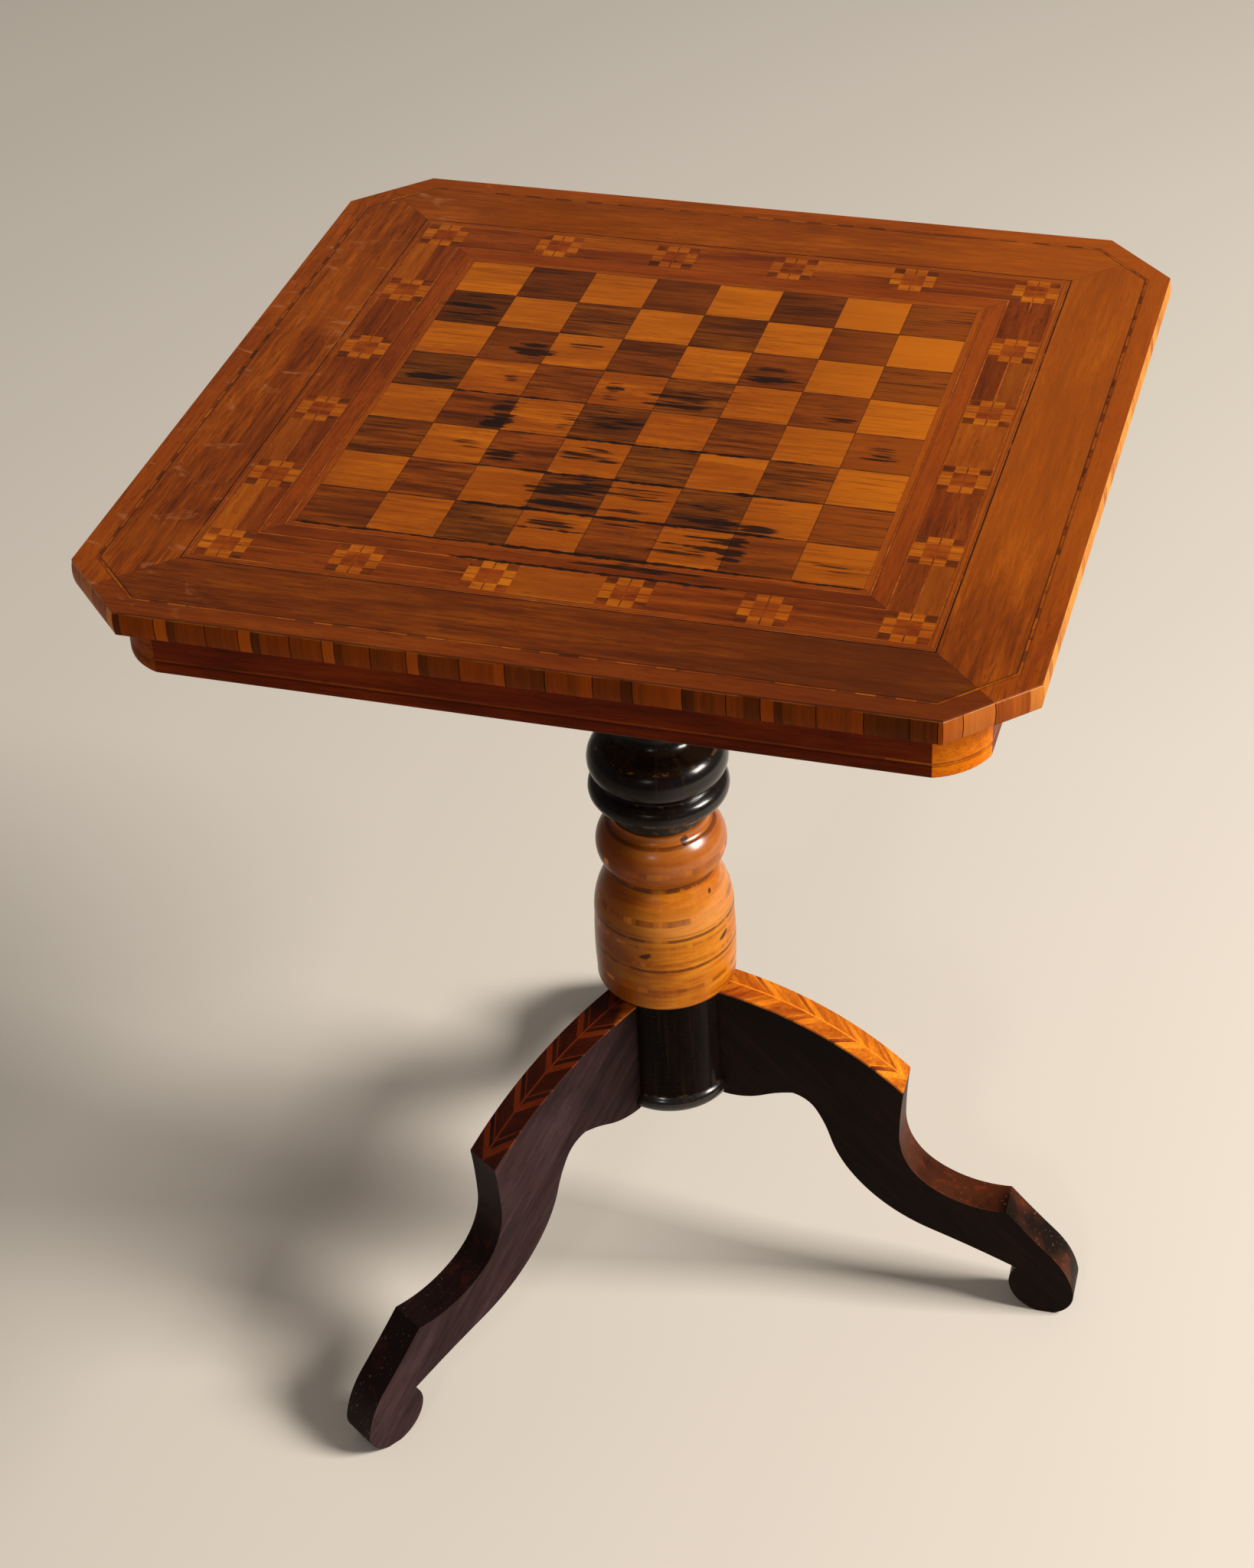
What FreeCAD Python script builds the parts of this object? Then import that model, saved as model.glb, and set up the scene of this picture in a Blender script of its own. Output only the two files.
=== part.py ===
"""Pedestal game table: an inlaid tilting board on a turned column with three scrolled legs.

Millimetres, +Z up, +X to the right and +Y to the back. The origin is on the floor under the
middle of the board. One STEP file is written for each sub-part.
"""

import FreeCAD, Part

import math
import os

os.makedirs("parts", exist_ok=True)

# Overall sizes
table_height = 708.0
board_width = 561.0
board_depth = 552.0
board_thickness = 16.0
corner_cut = 45.0
veneer_thickness = 1.2
overrun = 5.0

# Inlay of the board, outwards from the chess field
squares_per_side = 8
field_strip_width = 4.2
line_width = 0.9
inner_border_width = 11.0
motif_cell = 6.95
motif_line = 0.8
motif_cells = 4
motifs_per_side = 6
outer_strip_width = 3.2
field_line_width = 0.7
side_field_width = 46.5
front_field_width = 46.0
dash_width = 1.6
dash_length = 10.8
margin_width = 14.0

# Edge moulding of the board
moulding_thickness = 6.0
moulding_low_round = 1.0
moulding_high_round = 0.8
edge_block_length = 25.0

# Apron under the board
apron_side_setback = 27.5
apron_front_setback = 23.0
apron_height = 39.5
apron_thickness = 12.0
apron_corner = 27.5
apron_bulge = 4.6
apron_line_rise = 8.5
apron_line_height = 1.4
apron_line_depth = 0.8
glue_block_size = 14.0
glue_block_length = 45.0
glue_blocks_per_rail = 2
glue_block_reach_share = 0.45

# Column, whose axis stands a little off the middle of the board
column_x = -5.9
column_y = -1.8
stem_radius = 42.0
vase_radius = 48.2
vase_length = 139.0
upper_radius = 47.1
cap_radius = 45.5
cap_thickness = 12.5
upper_spigot_radius = 13.0
upper_spigot_length = 30.0
stem_spigot_radius = 16.0
stem_spigot_length = 38.0
top_tenon_radius = 17.0
wedge_width_high = 3.0
wedge_width_low = 1.0
wedge_depth = 28.0

# Turned outlines: rows of two shares are a straight run to that radius and height, and rows of
# four are an arc through the first pair to the second
upper_outline_shares = [
    (0.680, 0.000),
    (0.680, 0.028),
    (0.712, 0.045, 0.807, 0.053),
    (1.000, 0.086, 0.881, 0.122),
    (0.860, 0.126),
    (0.860, 0.130),
    (0.881, 0.132),
    (0.996, 0.179, 0.786, 0.242),
    (0.637, 0.250),
    (0.531, 0.268, 0.499, 0.301),
    (0.616, 0.528, 0.488, 0.764),
    (0.488, 0.797),
    (0.616, 0.805),
    (0.701, 0.829, 0.616, 0.854),
    (0.531, 0.862),
    (0.573, 0.902, 0.743, 0.935),
    (0.764, 0.943),
    (0.764, 1.000),
]
vase_outline_shares = [
    (0.910, 0.000),
    (0.968, 0.013, 0.988, 0.045),
    (1.004, 0.195, 0.988, 0.392),
    (0.914, 0.563, 0.748, 0.672),
    (0.732, 0.684),
    (0.732, 0.698),
    (0.915, 0.813, 0.768, 0.942),
    (0.753, 0.947),
    (0.697, 0.960, 0.680, 1.000),
]
cap_outline_shares = [
    (0.930, 0.000),
    (1.000, 0.450, 0.940, 0.920),
    (0.924, 1.000),
]
knob_outline_shares = [
    (0.350, 0.000),
    (1.000, 0.500, 0.400, 1.000),
]

# Legs: outline points are shares of the length from the column axis and of the height
leg_angles = (1.8, 113.5, 236.3)
leg_names = ("right", "back", "left")
leg_thickness = 27.0
leg_length = 293.0
leg_height = 266.0
leg_top_angle = -9.0
knee_angle = -97.0
toe_angle = -50.0
notch_angle = 155.0
crook_angle = 187.0
knee_top_shares = [(0.085, 1.000), (0.576, 0.726)]
hollow_shares = [(0.567, 0.571), (0.645, 0.404), (0.829, 0.350)]
toe_shares = [(0.942, 0.210), (1.000, 0.085), (0.922, -0.0015), (0.843, 0.085), (0.859, 0.150)]
calf_shares = [(0.648, 0.248), (0.447, 0.421), (0.399, 0.534), (0.365, 0.624), (0.308, 0.671)]
wave_shares = [(0.239, 0.650), (0.184, 0.635), (0.085, 0.665)]

# Dovetails of the legs in the stem
stem_above_root = 6.5
stem_above_leg = 1.0
tenon_neck_half = 6.0
tenon_root_half = 8.0
tenon_root_reach = 27.0
tenon_inside_leg = 3.0
tenon_low_rise = 2.0
tenon_high_drop = 16.0

# Marquetry on the knees
knee_veneer = 1.5
knee_line_half = 0.8
knee_units = 5
knee_panel_share = 0.60
knee_light_line_share = 0.05
knee_dark_slip_share = 0.14

# Pivot block, bearers and pivot screws
rest_gap = 0.3
block_height = 39.7
block_half_depth = 50.0
block_front = 56.0
pivot_offset = 54.0
pivot_below_top = 19.7
bearer_gap = 0.5
bearer_thickness = 22.0
bearer_height = 32.0
bearer_end_room = 33.0
bearer_nose_length = 60.0
bearer_nose_drop = 16.0
pivot_radius = 4.0
pivot_clearance = 0.05
pivot_depth = 30.0
pivot_head_radius = 8.0
pivot_head_thickness = 3.0
pivot_head_gap = 0.3
slot_width = 1.6
slot_depth = 1.2

# Wood screws
screw_radius = 2.0
screw_head_radius = 4.2
screw_head_height = 2.4
bearer_screw_sink = 3.0
bearer_screw_bite = 11.0
bearer_screw_shares = (-0.85, -0.40, 0.40, 0.85)
cap_screw_length = 36.0
small_screw_radius = 1.2
small_screw_head_radius = 2.6
small_screw_head_height = 1.3
plate_screw_length = 11.0
keep_screw_length = 12.0

# Sliding catch under the board
pad_length = 62.0
pad_half_depth = 18.0
pad_thickness = 8.0
pad_margin = 2.0
plate_thickness = 1.5
plate_half_depth = 15.0
catch_stand_off = 4.5
bolt_gap = 2.5
bolt_travel = 11.0
bolt_length = 58.0
bolt_half_width = 4.0
bolt_height = 5.0
bolt_clearance = 0.3
guide_length = 6.0
guide_wall = 1.2
guide_foot = 4.5
guide_inset = 3.0
knob_reach = 28.0
knob_neck_radius = 2.0
knob_neck_length = 4.0
knob_radius = 5.0
knob_height = 8.0
plate_screw_inset = 3.6
keep_thickness = 1.5
keep_half_depth = 16.0
keep_half_height = 6.0
keep_screw_share = 0.72
mortise_depth = 14.0

# Worked-out levels
under_board = table_height - board_thickness
core_top = table_height - veneer_thickness
block_top = under_board - rest_gap
block_bottom = block_top - block_height
pivot_height = block_top - pivot_below_top
root_height = leg_height * wave_shares[-1][1]
stem_bottom = root_height + stem_above_root
stem_top = leg_height + stem_above_leg
vase_top = stem_top + vase_length
upper_length = block_bottom - vase_top
apron_bottom = under_board - apron_height

# Worked-out places of the inlay, as distances outwards from the chess field
band_width = motif_cells * motif_cell + motif_line
inner_line_at = field_strip_width
inner_border_at = inner_line_at + line_width
middle_line_at = inner_border_at + inner_border_width
band_at = middle_line_at + line_width
outer_line_at = band_at + band_width
outer_strip_at = outer_line_at + line_width
field_line_at = outer_strip_at + outer_strip_width
field_at = field_line_at + field_line_width
field_half_x = board_width / 2 - margin_width - dash_width - side_field_width - field_at
field_half_y = board_depth / 2 - margin_width - dash_width - front_field_width - field_at
square_width = 2 * field_half_x / squares_per_side
square_depth = 2 * field_half_y / squares_per_side

# Worked-out places under the board
apron_half_x = board_width / 2 - apron_side_setback
apron_half_y = board_depth / 2 - apron_front_setback
bearer_half_length = apron_half_x - bearer_end_room

parts = {}


def vec(x, y, z):
    """A point or a direction."""
    return FreeCAD.Vector(x, y, z)


def add(name, shapes):
    """Keeps the solids of one sub-part under its name."""
    solids = [solid for shape in shapes for solid in shape.Solids]
    parts[name] = solids


def prism(points, low, height):
    """An upright solid on a plan outline of (x, y) points."""
    corners = [vec(x, y, low) for x, y in points]
    face = Part.Face(Part.makePolygon(corners + corners[:1]))
    return face.extrude(vec(0, 0, height))


def box(low_x, high_x, low_y, high_y, low_z, high_z):
    """A box between six coordinates."""
    size = (high_x - low_x, high_y - low_y, high_z - low_z)
    return Part.makeBox(*size, vec(low_x, low_y, low_z))


def round_bar(radius, start, direction, length):
    """A cylinder from a point along a direction."""
    return Part.makeCylinder(radius, length, start, direction)


def turned(shares, radius, bottom, length):
    """A solid of revolution about the Z axis from rows of radius and height shares."""

    def place(radius_share, height_share):
        return vec(radius * radius_share, 0, bottom + length * height_share)

    first = place(*shares[0])
    edges = [Part.makeLine(vec(0, 0, bottom), first)]
    last = first
    for row in shares[1:]:
        end = place(*row[-2:])
        if len(row) == 4:
            edges.append(Part.Arc(last, place(*row[:2]), end).toShape())
        else:
            edges.append(Part.makeLine(last, end))
        last = end
    top = vec(0, 0, last.z)
    edges.append(Part.makeLine(last, top))
    edges.append(Part.makeLine(top, vec(0, 0, bottom)))
    face = Part.Face(Part.Wire(edges))
    return face.revolve(vec(0, 0, 0), vec(0, 0, 1), 360)


def countersunk_screw(radius, head_radius, head_height, length, slot):
    """A slotted screw along +Z with its head's flat face at z = 0 and its point up."""
    outline = [
        vec(0, 0, 0),
        vec(head_radius, 0, 0),
        vec(radius, 0, head_height),
        vec(radius, 0, length - radius),
        vec(0, 0, length),
        vec(0, 0, 0),
    ]
    face = Part.Face(Part.makePolygon(outline))
    body = face.revolve(vec(0, 0, 0), vec(0, 0, 1), 360)
    if not slot:
        return body
    half = slot_width * radius / pivot_radius
    depth = slot_depth * radius / pivot_radius
    cut = box(-head_radius, head_radius, -half, half, 0, depth)
    return body.cut(cut)


def placed(shape, x, y, z, axis=None, degrees=0):
    """A turned and moved copy of a shape."""
    copy = shape.copy()
    if axis is not None:
        copy.rotate(vec(0, 0, 0), axis, degrees)
    copy.translate(vec(x, y, z))
    return copy


def on_column(shapes):
    """Moves solids from the column's own axis to its place under the board."""
    return [placed(shape, column_x, column_y, 0) for shape in shapes]


# Board

def octagon(inset):
    """The board's outline moved inwards: eight points from the front side's left end."""
    x = board_width / 2 - inset
    y = board_depth / 2 - inset
    cut = corner_cut - inset * (2 - math.sqrt(2))
    return [
        (-x + cut, -y),
        (x - cut, -y),
        (x, -y + cut),
        (x, y - cut),
        (x - cut, y),
        (-x + cut, y),
        (-x, y - cut),
        (-x, -y + cut),
    ]


def middle(a, b):
    """The point half way between two points."""
    return ((a[0] + b[0]) / 2, (a[1] + b[1]) / 2)


def rectangle(distance):
    """Corners of the rectangle that lies a distance outside the chess field."""
    x = field_half_x + distance
    y = field_half_y + distance
    return [(-x, -y), (x, -y), (x, y), (-x, y)]


def mitred_frame(inner_at, width):
    """Four mitred strips round the chess field."""
    inner = rectangle(inner_at)
    outer = rectangle(inner_at + width)
    strips = []
    for side in range(4):
        following = (side + 1) % 4
        outline = [outer[side], outer[following], inner[following], inner[side]]
        strips.append(prism(outline, core_top, veneer_thickness))
    return strips


def split_strip(outer, inner, count):
    """Cuts a strip between two parallel lines square across, into pieces of equal length."""
    (ox, oy), (px, py) = outer
    (ix, iy), (jx, jy) = inner
    run = math.hypot(jx - ix, jy - iy)
    along = ((jx - ix) / run, (jy - iy) / run)
    across = (along[1], -along[0])
    width = (ox - ix) * across[0] + (oy - iy) * across[1]
    outlines = []
    for index in range(count):
        low = run * index / count
        high = run * (index + 1) / count
        a = (ix + along[0] * low, iy + along[1] * low)
        b = (ix + along[0] * high, iy + along[1] * high)
        c = (b[0] + across[0] * width, b[1] + across[1] * width)
        d = (a[0] + across[0] * width, a[1] + across[1] * width)
        if index == 0:
            d = (ox, oy)
        if index == count - 1:
            c = (px, py)
        outlines.append([d, c, b, a])
    return outlines


def make_core():
    """The board's groundwork, with holes for the bearers' and the pad's screws."""
    core = prism(octagon(moulding_thickness), under_board, core_top - under_board)
    for screw in bearer_screw_solids(False) + plate_screw_solids(False):
        core = core.cut(screw)
    return core


def make_edge_moulding():
    """The cross-grained moulding: each of the eight sides is a row of short blocks."""
    outer = octagon(0)
    inner = octagon(moulding_thickness)
    names = ["front", "cants", "right", "cants", "back", "cants", "left", "cants"]
    groups = {}
    for side in range(8):
        following = (side + 1) % 8
        (ax, ay), (bx, by) = outer[side], outer[following]
        run = math.hypot(bx - ax, by - ay)
        along = vec((bx - ax) / run, (by - ay) / run, 0)
        out = vec(along.y, -along.x, 0)
        start = vec(ax, ay, 0)
        low = vec(0, 0, under_board)
        high = vec(0, 0, core_top)
        waist = (low + high) * 0.5
        inner_low = start + low - out * moulding_thickness
        inner_high = start + high - out * moulding_thickness
        outer_low = start + low - out * moulding_low_round
        outer_high = start + high - out * moulding_high_round
        edges = [
            Part.makeLine(inner_low, outer_low),
            Part.Arc(outer_low, start + waist, outer_high).toShape(),
            Part.makeLine(outer_high, inner_high),
            Part.makeLine(inner_high, inner_low),
        ]
        bar = Part.Face(Part.Wire(edges)).extrude(along * run)
        count = max(2, round(run / edge_block_length))
        strips = split_strip(
            (outer[side], outer[following]), (inner[side], inner[following]), count
        )
        for outline in strips:
            slab = prism(outline, under_board - overrun, board_thickness + 2 * overrun)
            groups.setdefault("edge_" + names[side], []).append(bar.common(slab))
    for name, blocks in groups.items():
        add(name, blocks)


def make_chess_field():
    """Light and dark squares; the front left corner square is dark."""
    light = []
    dark = []
    for column in range(squares_per_side):
        for row in range(squares_per_side):
            x = -field_half_x + column * square_width
            y = -field_half_y + row * square_depth
            square = box(
                x, x + square_width, y, y + square_depth, core_top, table_height
            )
            if (column + row) % 2 == 0:
                dark.append(square)
            else:
                light.append(square)
    add("chess_squares_light", light)
    add("chess_squares_dark", dark)


def motif_centres():
    """Centres of the mosaic flowers round the band, corners first on each side."""
    x = field_half_x + band_at + band_width / 2
    y = field_half_y + band_at + band_width / 2
    steps = motifs_per_side - 1
    centres = []
    for step in range(steps):
        share = 2 * step / steps - 1
        centres.append((share * x, -y))
        centres.append((x, share * y))
        centres.append((-share * x, y))
        centres.append((-x, -share * y))
    return centres


def cell_edges(index):
    """Low and high offset of one cell of a flower from its centre."""
    half = motif_cells // 2
    gap = motif_line / 2
    if index < half:
        low = -gap - (half - index) * motif_cell
    else:
        low = gap + (index - half) * motif_cell
    return low, low + motif_cell


def make_motifs():
    """Mosaic flowers: eight light squares round four red ones, dark corners, a light cross."""
    light = []
    red = []
    dark = []
    crosses = []
    last = motif_cells - 1
    arm = motif_cell + motif_line / 2
    reach = band_width / 2
    gap = motif_line / 2
    for cx, cy in motif_centres():
        for column in range(motif_cells):
            for row in range(motif_cells):
                low_x, high_x = cell_edges(column)
                low_y, high_y = cell_edges(row)
                cell = box(
                    cx + low_x, cx + high_x, cy + low_y, cy + high_y, core_top, table_height
                )
                on_edge = (column in (0, last)) + (row in (0, last))
                (red, light, dark)[on_edge].append(cell)
        outline = []
        for turn in range(4):
            cosine = round(math.cos(turn * math.pi / 2))
            sine = round(math.sin(turn * math.pi / 2))
            for x, y in ((arm, -gap), (arm, gap), (gap, gap)):
                outline.append((cx + x * cosine - y * sine, cy + x * sine + y * cosine))
            slip = [(arm, -gap), (reach, -gap), (reach, gap), (arm, gap)]
            corners = [
                (cx + x * cosine - y * sine, cy + x * sine + y * cosine) for x, y in slip
            ]
            dark.append(prism(corners, core_top, veneer_thickness))
        crosses.append(prism(outline, core_top, veneer_thickness))
    add("motif_squares_light", light)
    add("motif_squares_red", red)
    add("motif_squares_dark", dark)
    add("motif_crosses", crosses)


def make_band_panels():
    """Two rows of long panels between the flowers, with a light line between the rows."""
    inner = []
    outer = []
    lines = []
    steps = motifs_per_side - 1
    half_band = band_width / 2
    gap = motif_line / 2
    centre_x = field_half_x + band_at + half_band
    centre_y = field_half_y + band_at + half_band
    sides = [
        ((-1, -1), (1, 0), (0, -1), centre_x),
        ((1, -1), (0, 1), (1, 0), centre_y),
        ((1, 1), (-1, 0), (0, 1), centre_x),
        ((-1, 1), (0, -1), (-1, 0), centre_y),
    ]
    for corner, along, out, half_run in sides:
        spacing = 2 * half_run / steps
        for step in range(steps):
            low = step * spacing + half_band
            high = (step + 1) * spacing - half_band
            rows = (
                (inner, -half_band, -gap),
                (lines, -gap, gap),
                (outer, gap, half_band),
            )
            for group, near, far in rows:
                outline = []
                for run, rise in ((low, near), (high, near), (high, far), (low, far)):
                    x = corner[0] * centre_x + along[0] * run + out[0] * rise
                    y = corner[1] * centre_y + along[1] * run + out[1] * rise
                    outline.append((x, y))
                group.append(prism(outline, core_top, veneer_thickness))
    add("band_panels_inner", inner)
    add("band_panels_outer", outer)
    add("band_lines", lines)


def make_outer_field():
    """The mitred outer field, the dashed line round it and the margin outside that."""
    inner = rectangle(field_at)
    dash_inner = octagon(margin_width + dash_width)
    dash_outer = octagon(margin_width)
    rim = octagon(moulding_high_round)
    field = []
    margin = []
    for side in range(4):
        a = 2 * side
        b = a + 1
        before = (a + 7) % 8
        after = (a + 2) % 8
        outline = [
            inner[side],
            middle(dash_inner[before], dash_inner[a]),
            dash_inner[a],
            dash_inner[b],
            middle(dash_inner[b], dash_inner[after]),
            inner[(side + 1) % 4],
        ]
        field.append(prism(outline, core_top, veneer_thickness))
        outline = [
            middle(rim[before], rim[a]),
            rim[a],
            rim[b],
            middle(rim[b], rim[after]),
            middle(dash_outer[b], dash_outer[after]),
            dash_outer[b],
            dash_outer[a],
            middle(dash_outer[before], dash_outer[a]),
        ]
        margin.append(prism(outline, core_top, veneer_thickness))
    add("field_veneers", field)
    add("margin_veneers", margin)
    light = []
    dark = []
    for side in range(8):
        following = (side + 1) % 8
        (ax, ay), (bx, by) = dash_inner[side], dash_inner[following]
        count = max(2, round(math.hypot(bx - ax, by - ay) / dash_length))
        strips = split_strip(
            (dash_outer[side], dash_outer[following]),
            (dash_inner[side], dash_inner[following]),
            count,
        )
        for index, outline in enumerate(strips):
            group = light if (index + side) % 2 == 0 else dark
            group.append(prism(outline, core_top, veneer_thickness))
    add("dashes_light", light)
    add("dashes_dark", dark)


def make_board():
    """Groundwork, edge moulding and every veneer of the board."""
    add("board_core", [make_core()])
    make_edge_moulding()
    make_chess_field()
    add("field_strip", mitred_frame(0, field_strip_width))
    add("inner_line", mitred_frame(inner_line_at, line_width))
    add("inner_border", mitred_frame(inner_border_at, inner_border_width))
    add("middle_line", mitred_frame(middle_line_at, line_width))
    make_motifs()
    make_band_panels()
    add("outer_line", mitred_frame(outer_line_at, line_width))
    add("outer_strip", mitred_frame(outer_strip_at, outer_strip_width))
    add("field_line", mitred_frame(field_line_at, field_line_width))
    make_outer_field()


# Apron

def corner_ends(level):
    """The two arrises of the front right corner: on the front rail and on the right rail."""
    on_front = vec(apron_half_x - apron_corner, -apron_half_y, level)
    on_right = vec(apron_half_x, apron_corner - apron_half_y, level)
    return on_front, on_right


def corner_face(depth, low, height):
    """The front right bowed corner's outer skin, down to a depth, as an upright solid."""
    start, end = corner_ends(low)
    chord = (end - start).Length
    radius = (chord * chord / 4 + apron_bulge * apron_bulge) / (2 * apron_bulge)
    out = vec(1, -1, 0).normalize()
    centre = (start + end) * 0.5 + out * (apron_bulge - radius)
    inner_radius = radius - depth
    inner_start = centre + (start - centre) * (inner_radius / radius)
    inner_end = centre + (end - centre) * (inner_radius / radius)
    edges = [
        Part.Arc(start, centre + out * radius, end).toShape(),
        Part.makeLine(end, inner_end),
        Part.Arc(inner_end, centre + out * inner_radius, inner_start).toShape(),
        Part.makeLine(inner_start, start),
    ]
    return Part.Face(Part.Wire(edges)).extrude(vec(0, 0, height))


def corner_block():
    """The front right apron corner, bowed outside and flat inside."""
    start, end = corner_ends(apron_bottom)
    out = vec(1, -1, 0).normalize()
    top = (start + end) * 0.5 + out * apron_bulge
    far = end - vec(apron_thickness, 0, 0)
    near = start + vec(0, apron_thickness, 0)
    edges = [
        Part.Arc(start, top, end).toShape(),
        Part.makeLine(end, far),
        Part.makeLine(far, near),
        Part.makeLine(near, start),
    ]
    return Part.Face(Part.Wire(edges)).extrude(vec(0, 0, apron_height))


def front_slab(depth, low, high):
    """A slab on the front side between the arrises, from the face inwards."""
    reach = apron_half_x - apron_corner
    return box(-reach, reach, -apron_half_y, depth - apron_half_y, low, high)


def right_slab(depth, low, high):
    """A slab on the right side between the arrises, from the face inwards."""
    reach = apron_half_y - apron_corner
    return box(apron_half_x - depth, apron_half_x, -reach, reach, low, high)


def glue_block(x):
    """A three-cornered block behind the front rail, centred on a place along it."""
    inner = apron_thickness - apron_half_y
    low = x - glue_block_length / 2
    outline = [
        vec(low, inner, under_board),
        vec(low, inner + glue_block_size, under_board),
        vec(low, inner, under_board - glue_block_size),
    ]
    face = Part.Face(Part.makePolygon(outline + outline[:1]))
    return face.extrude(vec(glue_block_length, 0, 0))


def make_apron():
    """Four rails, four bowed corners, the inlaid line round them and the glue blocks."""
    line_low = apron_bottom + apron_line_rise
    line_high = line_low + apron_line_height
    front_line = front_slab(apron_line_depth, line_low, line_high)
    right_line = right_slab(apron_line_depth, line_low, line_high)
    corner_line = corner_face(apron_line_depth, line_low, apron_line_height)
    front = front_slab(apron_thickness, apron_bottom, under_board).cut(front_line)
    right = right_slab(apron_thickness, apron_bottom, under_board).cut(right_line)
    corner = corner_block().cut(corner_line)
    across = vec(1, 0, 0)
    back = vec(0, 1, 0)
    middle_point = vec(0, 0, 0)
    add("apron_front", [front])
    add("apron_back", [front.mirror(middle_point, back)])
    add("apron_right", [right])
    add("apron_left", [right.mirror(middle_point, across)])
    corners = [corner, corner.mirror(middle_point, across)]
    corners += [block.mirror(middle_point, back) for block in corners]
    corner_lines = [corner_line, corner_line.mirror(middle_point, across)]
    corner_lines += [line.mirror(middle_point, back) for line in corner_lines]
    rail_lines = [front_line, front_line.mirror(middle_point, back)]
    rail_lines += [right_line, right_line.mirror(middle_point, across)]
    add("apron_corners", corners)
    add("apron_line", rail_lines + corner_lines)
    front_blocks = []
    side_blocks = []
    turn_reach = apron_half_x - apron_half_y
    for index in range(glue_blocks_per_rail):
        share = 2 * index / (glue_blocks_per_rail - 1) - 1
        block = glue_block(share * glue_block_reach_share * apron_half_x)
        front_blocks.append(block)
        block = glue_block(share * glue_block_reach_share * apron_half_y)
        side_blocks.append(placed(block, turn_reach, 0, 0, vec(0, 0, 1), 90))
    front_blocks += [block.mirror(middle_point, back) for block in front_blocks]
    side_blocks += [block.mirror(middle_point, across) for block in side_blocks]
    add("glue_blocks", front_blocks + side_blocks)


# Column

def tenon_outline(inside_leg):
    """Plan of a leg's dovetail, from its root in the stem to a place inside the leg."""
    high = stem_radius + inside_leg
    return [
        (tenon_root_reach, -tenon_root_half),
        (high, -tenon_neck_half),
        (high, tenon_neck_half),
        (tenon_root_reach, tenon_root_half),
    ]


def tenon(low, high):
    """A dovetail along +X between two levels."""
    return prism(tenon_outline(tenon_inside_leg), low, high - low)


def wedge_solid():
    """The wedge that spreads the column's top tenon in the block, thick end up."""
    half_length = math.sqrt(top_tenon_radius**2 - wedge_width_high**2)
    outline = [
        vec(-half_length, -wedge_width_high / 2, block_top),
        vec(-half_length, wedge_width_high / 2, block_top),
        vec(-half_length, wedge_width_low / 2, block_top - wedge_depth),
        vec(-half_length, -wedge_width_low / 2, block_top - wedge_depth),
    ]
    face = Part.Face(Part.makePolygon(outline + outline[:1]))
    return face.extrude(vec(2 * half_length, 0, 0))


def cap_screw(slot):
    """The screw up the middle of the base cap into the stem."""
    screw = countersunk_screw(
        screw_radius, screw_head_radius, screw_head_height, cap_screw_length, slot
    )
    return placed(screw, 0, 0, stem_bottom - cap_thickness)


def make_column():
    """Upper turning, amber vase section, black stem, base cap, wedge and screw."""
    axis = vec(0, 0, 1)
    upper = turned(upper_outline_shares, upper_radius, vase_top, upper_length)
    spigot = round_bar(
        upper_spigot_radius,
        vec(0, 0, vase_top - upper_spigot_length),
        axis,
        upper_spigot_length + overrun,
    )
    top_tenon = round_bar(
        top_tenon_radius,
        vec(0, 0, block_bottom - overrun),
        axis,
        block_height + overrun,
    )
    wedge = wedge_solid()
    upper = upper.fuse(spigot).fuse(top_tenon).removeSplitter().cut(wedge)
    vase = turned(vase_outline_shares, vase_radius, stem_top, vase_length)
    stem_spigot = round_bar(
        stem_spigot_radius, vec(0, 0, stem_top - overrun), axis, stem_spigot_length + overrun
    )
    vase = vase.cut(spigot).cut(stem_spigot)
    stem = round_bar(stem_radius, vec(0, 0, stem_bottom), axis, stem_top - stem_bottom)
    stem = stem.fuse(stem_spigot).removeSplitter()
    slot = tenon(stem_bottom, leg_height - tenon_high_drop)
    for angle in leg_angles:
        stem = stem.cut(placed(slot, 0, 0, 0, axis, angle))
    stem = stem.cut(cap_screw(False))
    cap = turned(cap_outline_shares, cap_radius, stem_bottom - cap_thickness, cap_thickness)
    cap = cap.cut(cap_screw(False))
    leg = leg_blank()
    for angle in leg_angles:
        cap = cap.cut(placed(leg, 0, 0, 0, axis, angle))
    add("column_upper", on_column([upper]))
    add("column_vase", on_column([vase]))
    add("column_stem", on_column([stem]))
    add("base_cap", on_column([cap]))
    add("base_cap_screw", on_column([cap_screw(True)]))
    add("tenon_wedge", on_column([wedge]))


# Legs

def tangent_arcs(start, heading, ends):
    """Edges from a start point along a heading, each arc running on smoothly from the last."""
    along = vec(math.cos(math.radians(heading)), 0, math.sin(math.radians(heading)))
    edges = []
    for end in ends:
        chord = end - start
        side = vec(-along.z, 0, along.x)
        radius = chord.dot(chord) / (2 * chord.dot(side))
        centre = start + side * radius
        outward = (start + end) * 0.5 - centre
        if chord.dot(along) < 0:
            outward = outward * -1.0
        through = centre + outward.normalize() * abs(radius)
        edges.append(Part.Arc(start, through, end).toShape())
        spoke = end - centre
        turn = 1.0 if radius > 0 else -1.0
        along = vec(-spoke.z, 0, spoke.x).normalize() * turn
        start = end
    return edges


def leg_points(shares):
    """Outline points of a leg along +X from rows of length and height shares."""
    return [vec(leg_length * x, 0, leg_height * z) for x, z in shares]


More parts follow.
